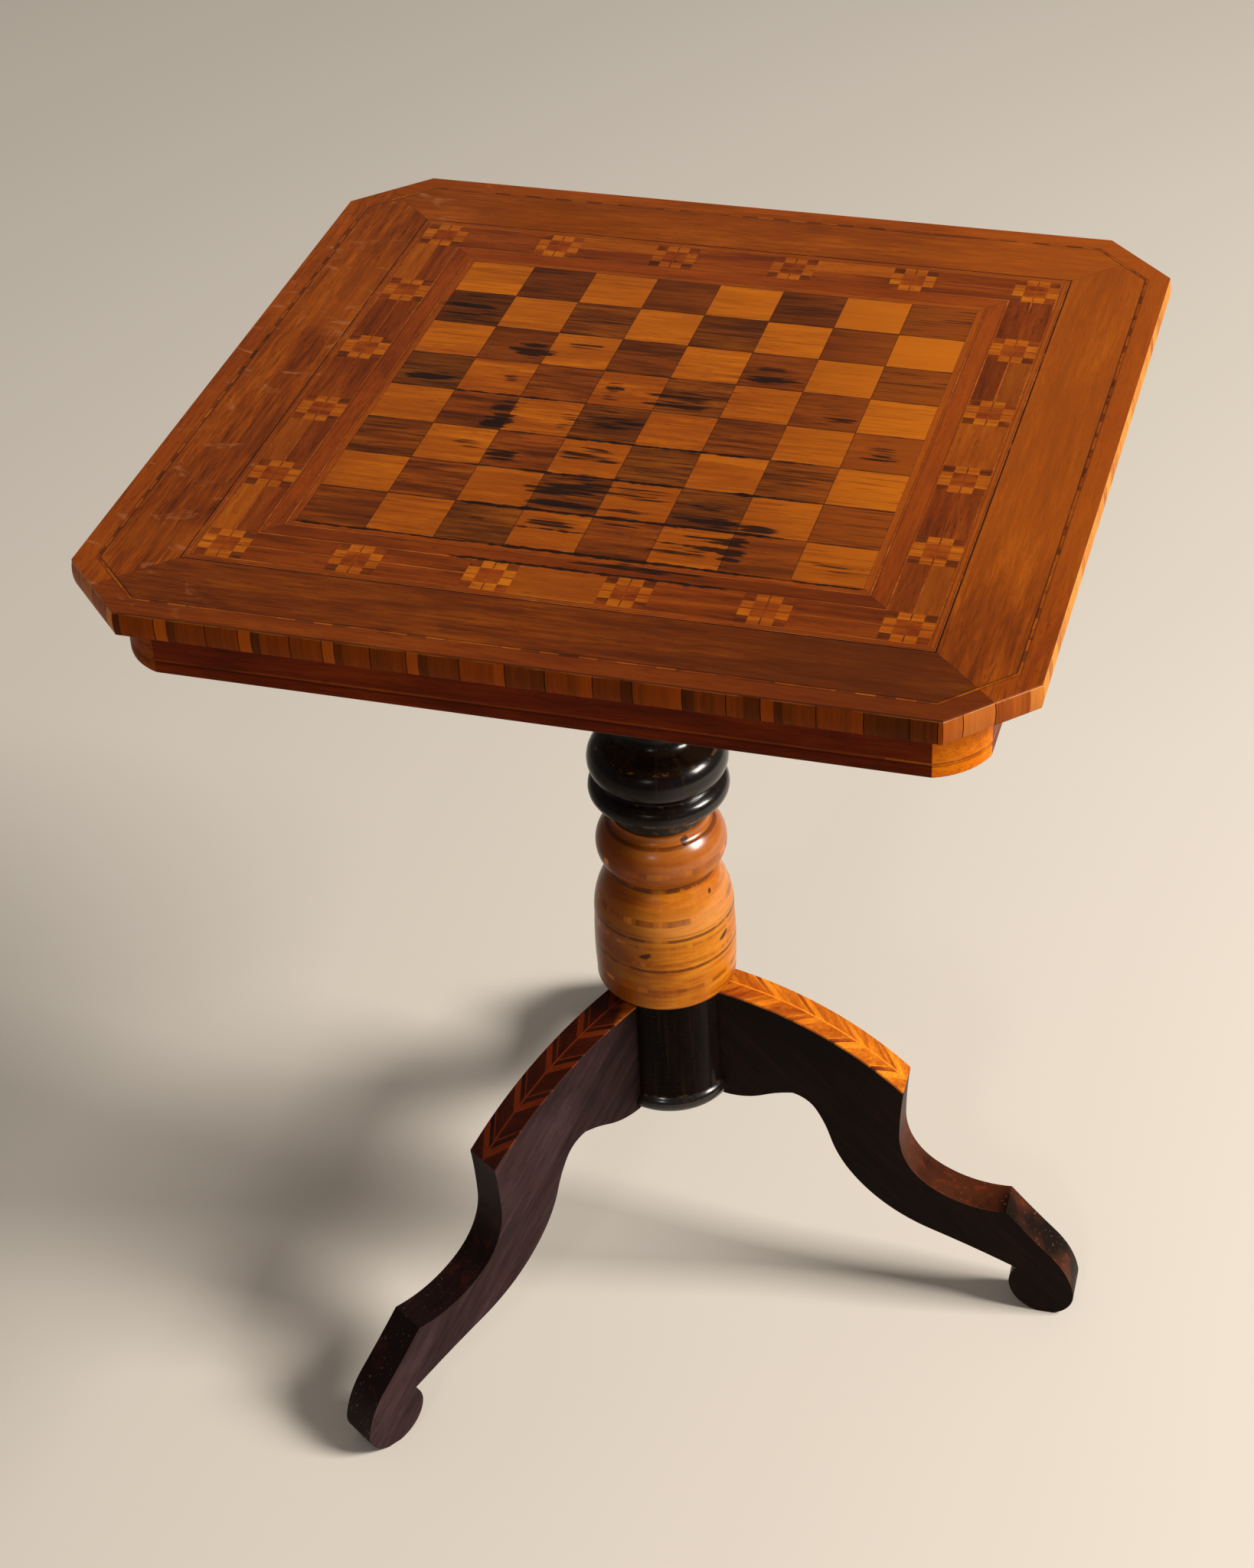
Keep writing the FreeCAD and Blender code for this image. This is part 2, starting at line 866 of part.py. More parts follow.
def leg_blank():
    """A whole leg along +X: a flat board sawn to its outline, coped to the stem."""
    runs = [
        (leg_top_angle, leg_points(knee_top_shares)),
        (knee_angle, leg_points(hollow_shares)),
        (toe_angle, leg_points(toe_shares)),
        (notch_angle, leg_points(calf_shares)),
        (crook_angle, leg_points(wave_shares)),
    ]
    root = runs[0][1].pop(0)
    last = root
    edges = []
    for heading, points in runs:
        edges += tangent_arcs(last, heading, points)
        last = points[-1]
    edges.append(Part.makeLine(last, root))
    face = Part.Face(Part.Wire(edges))
    blank = face.extrude(vec(0, leg_thickness, 0))
    blank.translate(vec(0, -leg_thickness / 2, 0))
    stem = round_bar(stem_radius, vec(0, 0, 0), vec(0, 0, 1), leg_height + overrun)
    below = box(0, leg_length + overrun, -leg_thickness, leg_thickness, -overrun, 0)
    return blank.cut(stem).cut(below)


def knee_layer():
    """The space of the veneer on the knee, as an upright slice round the top edge's arc."""
    root, knee = leg_points(knee_top_shares)
    edge = tangent_arcs(root, leg_top_angle, [knee])[0]
    circle = edge.Curve
    centre = circle.Center
    outer = circle.Radius + overrun
    inner = circle.Radius - knee_veneer
    first = (root - centre).normalize()
    last = (knee - centre).normalize()
    mid = (first + last).normalize()
    edges = [
        Part.Arc(centre + first * outer, centre + mid * outer, centre + last * outer).toShape(),
        Part.makeLine(centre + last * outer, centre + last * inner),
        Part.Arc(centre + last * inner, centre + mid * inner, centre + first * inner).toShape(),
        Part.makeLine(centre + first * inner, centre + first * outer),
    ]
    face = Part.Face(Part.Wire(edges))
    layer = face.extrude(vec(0, leg_thickness, 0))
    layer.translate(vec(0, -leg_thickness / 2, 0))
    return layer


def knee_slices():
    """Plan bands of the knee's chevrons: (kind, low reach, high reach) at the centre line."""
    root, knee = leg_points(knee_top_shares)
    first = root.x
    last = knee.x + leg_thickness / 2
    unit = (knee.x - first) / knee_units
    bands = []
    at = first - unit
    while at < last:
        panel = at + unit * knee_panel_share
        line = panel + unit * knee_light_line_share
        dark = line + unit * knee_dark_slip_share
        bands.append(("panel", at, panel))
        bands.append(("light", panel, line))
        bands.append(("dark", line, dark))
        bands.append(("light", dark, at + unit))
        at += unit
    return bands


def make_legs():
    """Three legs with their dovetails, and the chevron veneers on their knees."""
    axis = vec(0, 0, 1)
    blank = leg_blank()
    layer = knee_layer()
    skin = blank.common(layer)
    half = leg_thickness / 2
    low = stem_bottom + tenon_low_rise
    body = blank.cut(layer).fuse(tenon(low, leg_height - tenon_high_drop))
    body = body.removeSplitter()
    for name, angle in zip(leg_names, leg_angles):
        add("leg_" + name, on_column([placed(body, 0, 0, 0, axis, angle)]))
    floor = root_height
    height = leg_height + overrun - floor
    centre = [(0, -knee_line_half), (leg_length, -knee_line_half)]
    centre += [(leg_length, knee_line_half), (0, knee_line_half)]
    pieces = {"panel": [], "light": [], "dark": []}
    for kind, near, far in knee_slices():
        for side in (-1, 1):
            outline = [
                (near - knee_line_half, side * knee_line_half),
                (far - knee_line_half, side * knee_line_half),
                (far - half, side * half),
                (near - half, side * half),
            ]
            piece = skin.common(prism(outline, floor, height))
            pieces[kind] += piece.Solids
    line = skin.common(prism(centre, floor, height)).Solids
    groups = {
        "knee_panels": pieces["panel"],
        "knee_slips_light": pieces["light"],
        "knee_slips_dark": pieces["dark"],
        "knee_lines": line,
    }
    for name, solids in groups.items():
        turned_solids = [
            placed(solid, 0, 0, 0, axis, angle) for angle in leg_angles for solid in solids
        ]
        add(name, on_column(turned_solids))


# Tilting top: block, bearers and pivots

def pivot_screw(side, slot):
    """A pivot screw through one bearer into the block; side is -1 in front and 1 behind."""
    face = block_half_depth + bearer_gap + bearer_thickness
    head_at = face + pivot_head_gap
    shank = round_bar(
        pivot_radius,
        vec(-pivot_offset, side * head_at, pivot_height),
        vec(0, -side, 0),
        head_at - block_half_depth + pivot_depth,
    )
    if not slot:
        return shank
    head = round_bar(
        pivot_head_radius,
        vec(-pivot_offset, side * head_at, pivot_height),
        vec(0, side, 0),
        pivot_head_thickness,
    )
    outer = head_at + pivot_head_thickness
    low_y, high_y = sorted((side * (outer - slot_depth), side * (outer + overrun)))
    cut = box(
        -pivot_offset - slot_width / 2,
        -pivot_offset + slot_width / 2,
        low_y,
        high_y,
        pivot_height - pivot_head_radius,
        pivot_height + pivot_head_radius,
    )
    return shank.fuse(head).removeSplitter().cut(cut)


def bolt_top():
    """Level of the sliding bolt's upper face."""
    return under_board - pad_thickness - plate_thickness


def keep_solid():
    """The keep plate let into the block's front end, with its slot for the bolt."""
    middle_height = bolt_top() - bolt_height / 2
    plate = box(
        block_front - keep_thickness,
        block_front,
        -keep_half_depth,
        keep_half_depth,
        middle_height - keep_half_height,
        middle_height + keep_half_height,
    )
    return plate


def keep_mortise():
    """The space for the bolt in the keep and in the block."""
    return box(
        block_front - mortise_depth,
        block_front + overrun,
        -bolt_half_width - bolt_clearance,
        bolt_half_width + bolt_clearance,
        bolt_top() - bolt_height - bolt_clearance,
        bolt_top() + bolt_clearance,
    )


def keep_screw_solids(slot):
    """Two small screws that hold the keep plate."""
    screw = countersunk_screw(
        small_screw_radius,
        small_screw_head_radius,
        small_screw_head_height,
        keep_screw_length,
        slot,
    )
    level = bolt_top() - bolt_height / 2
    screws = []
    for side in (-1, 1):
        y = side * keep_half_depth * keep_screw_share
        screws.append(placed(screw, block_front, y, level, vec(0, 1, 0), -90))
    return screws


def make_block():
    """The pivot block, rounded about the pivot at its back end, and the keep in its front."""
    radius = pivot_below_top
    back = -pivot_offset - radius
    corner = vec(-pivot_offset, 0, block_top)
    side_point = vec(back, 0, pivot_height)
    slant = radius / math.sqrt(2)
    through = vec(-pivot_offset - slant, 0, pivot_height + slant)
    front_low = vec(block_front, 0, block_bottom)
    front_high = vec(block_front, 0, block_top)
    back_low = vec(back, 0, block_bottom)
    edges = [
        Part.makeLine(back_low, front_low),
        Part.makeLine(front_low, front_high),
        Part.makeLine(front_high, corner),
        Part.Arc(corner, through, side_point).toShape(),
        Part.makeLine(side_point, back_low),
    ]
    block = Part.Face(Part.Wire(edges)).extrude(vec(0, 2 * block_half_depth, 0))
    block.translate(vec(0, -block_half_depth, 0))
    bore = round_bar(
        top_tenon_radius,
        vec(0, 0, block_bottom - overrun),
        vec(0, 0, 1),
        block_height + 2 * overrun,
    )
    block = block.cut(bore).cut(keep_solid()).cut(keep_mortise())
    for side in (-1, 1):
        block = block.cut(pivot_screw(side, False))
    for screw in keep_screw_solids(False):
        block = block.cut(screw)
    keep = keep_solid().cut(keep_mortise())
    for screw in keep_screw_solids(False):
        keep = keep.cut(screw)
    add("pivot_block", on_column([block]))
    add("pivot_screws", on_column([pivot_screw(-1, True), pivot_screw(1, True)]))
    add("keep_plate", on_column([keep]))
    add("keep_screws", on_column(keep_screw_solids(True)))


def bearer_middle():
    """Distance of a bearer's middle plane from the column axis."""
    return block_half_depth + bearer_gap + bearer_thickness / 2


def bearer_screw_solids(slot):
    """Four screws up through each bearer into the board, in the table's place."""
    screws = []
    for side in (-1, 1):
        for share in bearer_screw_shares:
            head_depth = bearer_floor(abs(share)) - bearer_screw_sink
            screw = countersunk_screw(
                screw_radius,
                screw_head_radius,
                screw_head_height,
                head_depth + bearer_screw_bite,
                slot,
            )
            x = column_x + share * bearer_half_length
            y = column_y + side * bearer_middle()
            screws.append(placed(screw, x, y, under_board - head_depth))
    return screws


def bearer_floor(share):
    """Depth of a bearer's underside below the board at a share of its half length."""
    reach = share * bearer_half_length
    start = bearer_half_length - bearer_nose_length
    if reach <= start:
        return bearer_height
    return bearer_height - bearer_nose_drop * (reach - start) / bearer_nose_length


def make_bearers():
    """Two bearers under the board with tapered ends, bored for the pivots and screws."""
    low = under_board - bearer_height
    nose = low + bearer_nose_drop
    start = bearer_half_length - bearer_nose_length
    half = bearer_thickness / 2
    outline = [
        vec(-bearer_half_length, 0, under_board),
        vec(-bearer_half_length, 0, nose),
        vec(-start, 0, low),
        vec(start, 0, low),
        vec(bearer_half_length, 0, nose),
        vec(bearer_half_length, 0, under_board),
    ]
    face = Part.Face(Part.makePolygon(outline + outline[:1]))
    for side, name in ((-1, "front"), (1, "back")):
        bearer = face.extrude(vec(0, bearer_thickness, 0))
        bearer.translate(vec(0, side * bearer_middle() - half, 0))
        bore = round_bar(
            pivot_radius + pivot_clearance,
            vec(-pivot_offset, side * (bearer_middle() - bearer_thickness), pivot_height),
            vec(0, side, 0),
            2 * bearer_thickness,
        )
        bearer = on_column([bearer.cut(bore)])[0]
        for screw in bearer_screw_solids(False):
            bounds = screw.BoundBox
            head = vec(bounds.Center.x, bounds.Center.y, bounds.ZMin)
            way_in = round_bar(screw_head_radius, head, vec(0, 0, -1), bearer_height)
            bearer = bearer.cut(screw).cut(way_in)
        add("bearer_" + name, [bearer])
    add("bearer_screws", bearer_screw_solids(True))


# Sliding catch

def catch_start():
    """Where the catch's plate begins, measured from the column axis."""
    return block_front + catch_stand_off


def plate_screw_solids(slot):
    """Four small screws through the catch plate and its pad, in the table's place."""
    screw = countersunk_screw(
        small_screw_radius,
        small_screw_head_radius,
        small_screw_head_height,
        plate_screw_length,
        slot,
    )
    level = bolt_top()
    screws = []
    low = catch_start() + guide_inset + guide_length + plate_screw_inset
    high = catch_start() + pad_length - guide_inset - guide_length - plate_screw_inset
    for x in (low, high):
        for side in (-1, 1):
            y = side * (plate_half_depth - plate_screw_inset)
            screws.append(placed(screw, column_x + x, column_y + y, level))
    return screws


def make_catch():
    """Pad, plate, guides, sliding bolt and knob of the catch under the board."""
    start = catch_start()
    end = start + pad_length
    pad_low = under_board - pad_thickness
    pad = box(
        start, end, -pad_half_depth, pad_half_depth, pad_low, under_board
    )
    plate = box(
        start + pad_margin,
        end - pad_margin,
        -plate_half_depth,
        plate_half_depth,
        bolt_top(),
        pad_low,
    )
    pad = on_column([pad])[0]
    plate = on_column([plate])[0]
    for screw in plate_screw_solids(False):
        pad = pad.cut(screw)
        plate = plate.cut(screw)
    bolt_high = bolt_top() - bolt_clearance
    bolt_low = bolt_high - bolt_height
    opening = bolt_half_width + bolt_clearance
    guides = []
    for low in (start + guide_inset, end - guide_inset - guide_length):
        guide = box(
            low,
            low + guide_length,
            -opening - guide_foot,
            opening + guide_foot,
            bolt_low - bolt_clearance - guide_wall,
            bolt_top(),
        )
        way = box(
            low, low + guide_length, -opening, opening, bolt_low - bolt_clearance, bolt_top()
        )
        guides.append(guide.cut(way))
    tip = block_front + bolt_gap
    bolt = box(
        tip, tip + bolt_length, -bolt_half_width, bolt_half_width, bolt_low, bolt_high
    )
    socket = round_bar(
        knob_neck_radius, vec(tip + knob_reach, 0, bolt_low), vec(0, 0, 1), bolt_height / 2
    )
    bolt = bolt.cut(socket)
    knob_low = bolt_low - knob_neck_length - knob_height
    neck = round_bar(
        knob_neck_radius,
        vec(tip + knob_reach, 0, knob_low + knob_height / 2),
        vec(0, 0, 1),
        knob_height / 2 + knob_neck_length + bolt_height / 2,
    )
    ball = turned(knob_outline_shares, knob_radius, knob_low, knob_height)
    ball.translate(vec(tip + knob_reach, 0, 0))
    knob = neck.fuse(ball).removeSplitter()
    add("catch_pad", [pad])
    add("catch_plate", [plate])
    add("catch_plate_screws", plate_screw_solids(True))
    add("catch_guides", on_column(guides))
    add("catch_bolt", on_column([bolt]))
    add("catch_knob", on_column([knob]))


def write_parts():
    """Writes one STEP file for each sub-part."""
    for name, solids in parts.items():
        shape = solids[0] if len(solids) == 1 else Part.makeCompound(solids)
        valid = all(solid.isValid() for solid in solids)
        volume = sum(solid.Volume for solid in solids)
        print(f"{name}: {len(solids)} solids, {volume / 1000:.2f} cm3, valid {valid}")
        shape.exportStep(f"parts/{name}.step")


make_board()
make_apron()
make_column()
make_legs()
make_block()
make_bearers()
make_catch()
write_parts()
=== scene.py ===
"""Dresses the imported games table: turned column, eased joinery, inlaid board and finishes."""

import logging
import math
from cmath import phase
from dataclasses import dataclass
from enum import Enum
from typing import Any, Callable, Dict, List, Optional, Sequence, Tuple, Union

import bpy
from mathutils import Matrix, Vector


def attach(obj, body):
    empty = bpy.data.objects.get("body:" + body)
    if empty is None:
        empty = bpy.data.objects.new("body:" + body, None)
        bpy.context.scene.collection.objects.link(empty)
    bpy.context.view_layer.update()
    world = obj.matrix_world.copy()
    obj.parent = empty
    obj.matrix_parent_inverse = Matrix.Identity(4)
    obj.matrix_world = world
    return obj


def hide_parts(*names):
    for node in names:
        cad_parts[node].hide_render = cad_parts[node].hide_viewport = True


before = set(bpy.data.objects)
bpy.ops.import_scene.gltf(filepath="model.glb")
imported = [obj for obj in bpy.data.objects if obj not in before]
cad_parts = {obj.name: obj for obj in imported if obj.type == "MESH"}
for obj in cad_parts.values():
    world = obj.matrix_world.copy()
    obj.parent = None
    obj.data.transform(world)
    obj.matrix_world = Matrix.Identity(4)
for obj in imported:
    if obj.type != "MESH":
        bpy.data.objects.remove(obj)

LOG = logging.getLogger("games_table")
MM = 0.001
SAME_PLACE = 1e-5
MERGED = 2e-6
CUT_WITHIN = 1e-6
FLAT = math.radians(0.3)
TURNED_SIDES = 144
WOOD_RELIEF = 0.6
METAL_RELIEF = 0.3
BRUSHED_DEPTH = 0.05 * MM
DULLED = 0.3
DIAGONAL = 0.707
LIT_FROM = (0.95, 0.31)

Material = bpy.types.Material
Colour = Tuple[float, float, float]
Point = Tuple[float, float, float]
Pair = Tuple[float, float]
Row = Tuple[float, ...]
Stops = Sequence[Tuple[float, Colour]]


def tone(*steps: int) -> Colour:
    """Gives a colour that is written in the usual 0 to 255 steps as linear light.

    Args:
        steps: Its red, green and blue.

    Returns:
        The colour in linear light.
    """
    shares = [step / 255 for step in steps]
    return tuple(
        share / 12.92 if share <= 0.04045 else ((share + 0.055) / 1.055) ** 2.4 for share in shares
    )


class Value:
    """A shader socket that takes part in arithmetic."""

    def __init__(self, graph: "Graph", socket: Any) -> None:
        """Keeps the socket and the graph it belongs to."""
        self.graph = graph
        self.socket = socket

    def __add__(self, other: "Input") -> "Value":
        """Sum."""
        return self.graph.math("ADD", self, other)

    __radd__ = __add__

    def __sub__(self, other: "Input") -> "Value":
        """Difference."""
        return self.graph.math("SUBTRACT", self, other)

    def __rsub__(self, other: "Input") -> "Value":
        """Difference from a number."""
        return self.graph.math("SUBTRACT", other, self)

    def __mul__(self, other: "Input") -> "Value":
        """Product."""
        return self.graph.math("MULTIPLY", self, other)

    __rmul__ = __mul__

    def __truediv__(self, other: "Input") -> "Value":
        """Quotient."""
        return self.graph.math("DIVIDE", self, other)

    def __abs__(self) -> "Value":
        """Size without sign."""
        return self.graph.math("ABSOLUTE", self)

    def __gt__(self, other: "Input") -> "Value":
        """One where this is greater than the other, else zero."""
        return self.graph.math("GREATER_THAN", self, other)


Input = Union[Value, float, int, Sequence[float]]
Parts = Tuple[Value, Value, Value]


class Graph:
    """The node graph of one material, with its colour built up in layers."""

    def __init__(self, name: str) -> None:
        """Starts an empty material.

        Args:
            name: The material's name.
        """
        self.material = bpy.data.materials.new(name)
        self.material.use_nodes = True
        self.tree = self.material.node_tree
        self.tree.nodes.clear()
        self.place = self.node("ShaderNodeTexCoord", output="Object")
        self.colour: Input = (0.0, 0.0, 0.0)

    def node(
        self,
        kind: str,
        settings: Optional[Dict[str, Any]] = None,
        inputs: Optional[Dict[Any, Input]] = None,
        output: Union[int, str] = 0,
    ) -> Value:
        """Adds one node.

        Args:
            kind: The node's type.
            settings: Its settings, with a ramp's stops as "stops".
            inputs: Values or links of its sockets.
            output: The socket that is given back.

        Returns:
            The chosen output.
        """
        made = self.tree.nodes.new(kind)
        for name, setting in (settings or {}).items():
            if name == "stops":
                self._set_stops(made.color_ramp, setting)
            else:
                setattr(made, name, setting)
        for name, given in (inputs or {}).items():
            socket = made.inputs[name]
            if isinstance(given, Value):
                self.tree.links.new(given.socket, socket)
            elif isinstance(given, (tuple, list)) and len(socket.default_value) == 4:
                socket.default_value = (*given, 1.0)
            else:
                socket.default_value = given
        return Value(self, made.outputs[output])

    @staticmethod
    def _set_stops(ramp: Any, stops: Stops) -> None:
        """Fills a colour ramp from places and colours.

        Args:
            ramp: The ramp.
            stops: Its places and colours.
        """
        while len(ramp.elements) < len(stops):
            ramp.elements.new(1.0)
        for element, (place, colour) in zip(ramp.elements, stops):
            element.position = place
            element.color = (*colour, 1.0)

    def math(self, operation: str, *given: Input) -> Value:
        """One step of arithmetic on numbers."""
        return self.node("ShaderNodeMath", {"operation": operation}, dict(enumerate(given)))

    def vector(self, operation: str, *given: Input) -> Value:
        """One step of arithmetic on vectors."""
        settings = {"operation": operation}
        return self.node("ShaderNodeVectorMath", settings, dict(enumerate(given)))

    def length(self, given: Value) -> Value:
        """The length of a vector."""
        return self.node("ShaderNodeVectorMath", {"operation": "LENGTH"}, {0: given}, "Value")

    def split(self, given: Value) -> Parts:
        """The three parts of a vector.

        Args:
            given: The vector.

        Returns:
            Its parts.
        """
        first = self.node("ShaderNodeSeparateXYZ", None, {0: given})
        sockets = first.socket.node.outputs
        return first, Value(self, sockets[1]), Value(self, sockets[2])

    @property
    def parts(self) -> Parts:
        """The x, y and z of the place."""
        return self.split(self.place)

    def join(self, x: Input, y: Input, z: Input) -> Value:
        """A vector of three parts."""
        return self.node("ShaderNodeCombineXYZ", None, {0: x, 1: y, 2: z})

    def noise(
        self,
        stretch: Input,
        detail: float = 2.0,
        twist: float = 0.0,
        where: Optional[Value] = None,
    ) -> Value:
        """Soft noise from 0 to 1.

        Args:
            stretch: Repeats in a metre, the same along all axes or one for each.
            detail: How many finer layers are added.
            twist: How much the noise is distorted.
            where: The place that is looked up, if it isn't the object's own.

        Returns:
            The noise.
        """
        each = stretch if isinstance(stretch, tuple) else (stretch,) * 3
        scaled = self.vector("MULTIPLY", where or self.place, each)
        return self.node(
            "ShaderNodeTexNoise",
            None,
            {"Vector": scaled, "Scale": 1.0, "Detail": detail, "Distortion": twist},
        )

    def lot(self, where: Value) -> Value:
        """A number from 0 to 1 that is drawn for each whole place."""
        return self.node("ShaderNodeTexWhiteNoise", None, {"Vector": where})

    def ramp(self, value: Value, stops: Stops) -> Value:
        """A colour from a value."""
        return self.node("ShaderNodeValToRGB", {"stops": stops}, {0: value})

    def mix(self, share: Input, first: Input, second: Input, blend: str = "MIX") -> Value:
        """A mix of two colours."""
        settings = {"data_type": "RGBA", "blend_type": blend}
        return self.node("ShaderNodeMix", settings, {0: share, 6: first, 7: second}, 2)

    def lay(self, share: Input, colour: Input, blend: str = "MIX") -> None:
        """Lays a colour over the material's own by a mask."""
        self.colour = self.mix(share, self.colour, colour, blend)

    def rise(self, value: Value, low: float, high: float) -> Value:
        """Zero below one limit and one above the other, with a soft step between.

        Args:
            value: What is looked at.
            low: The lower limit.
            high: The upper limit.

        Returns:
            A mask from 0 to 1.
        """
        return self.node(
            "ShaderNodeMapRange",
            {"interpolation_type": "SMOOTHSTEP"},
            {0: value, 1: low, 2: high, 3: 0.0, 4: 1.0},
        )

    def fall(self, value: Value, low: float, high: float) -> Value:
        """One below one limit and zero above the other, with a soft step between."""
        return 1 - self.rise(value, low, high)

    def near(self, value: Value, middle: float, half: float, soft: float) -> Value:
        """One close to a middle value and zero away from it."""
        return self.fall(abs(value - middle), half, half + soft)

    def either(self, *masks: Value) -> Value:
        """The strongest of several masks.

        Args:
            masks: The masks.

        Returns:
            The strongest of them at each place.
        """
        total = masks[0]
        for mask in masks[1:]:
            total = self.math("MAXIMUM", total, mask)
        return total

    def choose(self, share: Value, first: Value, second: Value) -> Value:
        """A number between two numbers."""
        return first + share * (second - first)

    def mark(self, name: str) -> Value:
        """A number that the mesh itself carries."""
        return self.node("ShaderNodeAttribute", {"attribute_name": name}, None, "Fac")

    def relief(self, strength: float, depth: float, height: Value) -> Value:
        """The way that a surface with a relief faces."""
        inputs = {"Strength": strength, "Distance": depth, "Height": height}
        return self.node("ShaderNodeBump", None, inputs)

    def close(self, inputs: Dict[str, Input]) -> Material:
        """Ends the graph with its surface.

        Args:
            inputs: The surface's values and links.

        Returns:
            The finished material.
        """
        surface = self.node("ShaderNodeBsdfPrincipled", None, inputs)
        output = self.tree.nodes.new("ShaderNodeOutputMaterial")
        self.tree.links.new(surface.socket, output.inputs["Surface"])
        return self.material


@dataclass(frozen=True)
class Polish:
    """How a surface shines and how deep its texture is."""

    roughness: float = 0.38
    spread: float = 0.16
    specular: float = 0.13
    relief: float = 0.00015
    lacquer: float = 0.12


def shaded(
    graph: Graph,
    height: Value,
    polish: Polish,
    dull: Optional[Value] = None,
    coat: Optional[Value] = None,
) -> Material:
    """Closes a material with its shader.

    Args:
        graph: The material's graph, with its colour.
        height: The relief over the surface, from 0 to 1.
        polish: How it shines.
        dull: Where it shines less, from 0 to 1.
        coat: How much lacquer is left, from 0 to 1.

    Returns:
        The finished material.
    """
    smear = graph.noise(9.0, 3.0)
    roughness = polish.roughness + (smear - 0.5) * polish.spread
    if dull is not None:
        roughness = roughness + dull * DULLED
    inputs = {
        "Base Color": graph.colour,
        "Roughness": roughness,
        "Specular IOR Level": polish.specular,
        "Normal": graph.relief(WOOD_RELIEF, polish.relief, height),
    }
    if coat is not None:
        inputs["Coat Weight"] = coat
        inputs["Coat Roughness"] = polish.lacquer
    return graph.close(inputs)


@dataclass(frozen=True)
class Timber:
    """The colours of one wood, from its dark growth lines to its light ones."""

    dark: Colour
    middle: Colour
    light: Colour
    pore: Colour
    contrast: float = 1.0

    def figure(self, graph: Graph, grain: Value) -> Tuple[Value, Value]:
        """Paints straight-grained wood.

        Args:
            graph: The material's graph.
            grain: The place with its first part along the grain.

        Returns:
            The colour and the fibres' relief.
        """
        broad = graph.noise((8.0, 46.0, 46.0), 3.0, 0.7, where=grain)
        lines = graph.noise((20.0, 270.0, 270.0), 3.0, 0.3, where=grain)
        fibres = graph.noise((60.0, 900.0, 900.0), 1.0, where=grain)
        pores = graph.noise((120.0, 1150.0, 1150.0), 1.0, where=grain)
        mixed = broad * 0.46 + lines * 0.38 + fibres * 0.16
        value = (mixed - 0.5) * self.contrast + 0.5
        stops = ((0.34, self.dark), (0.5, self.middle), (0.66, self.light))
        colour = graph.ramp(value, stops)
        pore = graph.rise(pores, 0.60, 0.70)
        colour = graph.mix(pore * 0.45, colour, self.pore)
        return colour, fibres - pore * 0.6


def wood(dark: Point, middle: Point, light: Point, pore: Point, contrast: float) -> Timber:
    """A wood from its four colours in 0 to 255 steps."""
    return Timber(tone(*dark), tone(*middle), tone(*light), tone(*pore), contrast)


class Wood:
    """The table's timbers."""

    LIGHT_SQUARE = wood((134, 60, 3), (160, 78, 5), (192, 103, 9), (96, 38, 3), 1.0)
    LIGHT_RED = wood((118, 46, 3), (146, 64, 4), (166, 80, 6), (84, 30, 2), 1.2)
    DARK_SQUARE = wood((76, 30, 2), (114, 49, 4), (146, 68, 7), (36, 13, 2), 1.5)
    DARK_OLIVE = wood((70, 34, 4), (108, 52, 5), (142, 74, 9), (34, 15, 2), 1.5)
    FIELD = wood((94, 36, 2), (132, 57, 3), (164, 80, 7), (64, 23, 2), 1.2)
    STRIP = wood((118, 47, 3), (141, 62, 4), (160, 76, 7), (80, 28, 3), 1.0)
    BORDER = wood((106, 40, 3), (131, 54, 4), (150, 66, 6), (72, 25, 2), 1.1)
    PALE = wood((124, 54, 10), (152, 74, 16), (178, 98, 28), (96, 40, 8), 1.2)
    FLOWER = wood((134, 60, 4), (166, 84, 6), (188, 104, 11), (104, 44, 4), 1.3)
    FLOWER_RED = wood((96, 34, 3), (126, 50, 4), (146, 64, 6), (68, 22, 3), 1.2)
    FLOWER_DARK = wood((66, 25, 3), (94, 39, 4), (118, 53, 6), (42, 15, 2), 1.2)
    INK = wood((52, 21, 3), (84, 36, 5), (108, 50, 7), (28, 11, 2), 1.2)
    PANEL = wood((84, 31, 3), (120, 49, 4), (144, 65, 7), (54, 19, 2), 1.2)
    PANEL_PALE = wood((134, 58, 4), (158, 76, 6), (176, 92, 9), (100, 40, 4), 1.0)
    APRON = wood((74, 20, 1), (98, 30, 2), (120, 43, 3), (46, 13, 1), 1.1)
    APRON_CORNER = wood((168, 78, 5), (204, 104, 8), (222, 126, 14), (124, 52, 4), 1.1)
    AMBER = wood((150, 72, 8), (188, 104, 15), (212, 134, 30), (118, 52, 8), 1.2)
    BLACK = wood((7, 3, 2), (12, 6, 4), (22, 11, 7), (4, 2, 2), 1.0)
    # The legs' wood with a painted sheen, and below it the same wood with painted shade for the
    # right leg.
    EBONISED_WITH_SHEEN = wood((38, 23, 24), (53, 36, 37), (68, 49, 50), (22, 13, 13), 1.2)
    EBONISED_IN_SHADE = wood((12, 4, 2), (20, 8, 4), (34, 14, 7), (6, 2, 1), 1.2)
    SOFTWOOD = wood((150, 104, 62), (178, 132, 86), (200, 158, 112), (120, 78, 44), 0.9)
    BEARER = wood((92, 52, 26), (122, 74, 40), (148, 96, 56), (60, 32, 16), 1.0)
    KNEE = wood((164, 78, 9), (197, 104, 15), (216, 126, 26), (116, 48, 8), 1.2)
    KNEE_RED = wood((140, 58, 7), (174, 84, 11), (196, 104, 18), (92, 36, 6), 1.2)
    KNEE_PALE = wood((204, 104, 13), (226, 127, 20), (240, 150, 34), (174, 84, 11), 1.0)
    KNEE_DARK = wood((66, 24, 6), (110, 43, 9), (146, 64, 13), (38, 13, 5), 1.2)


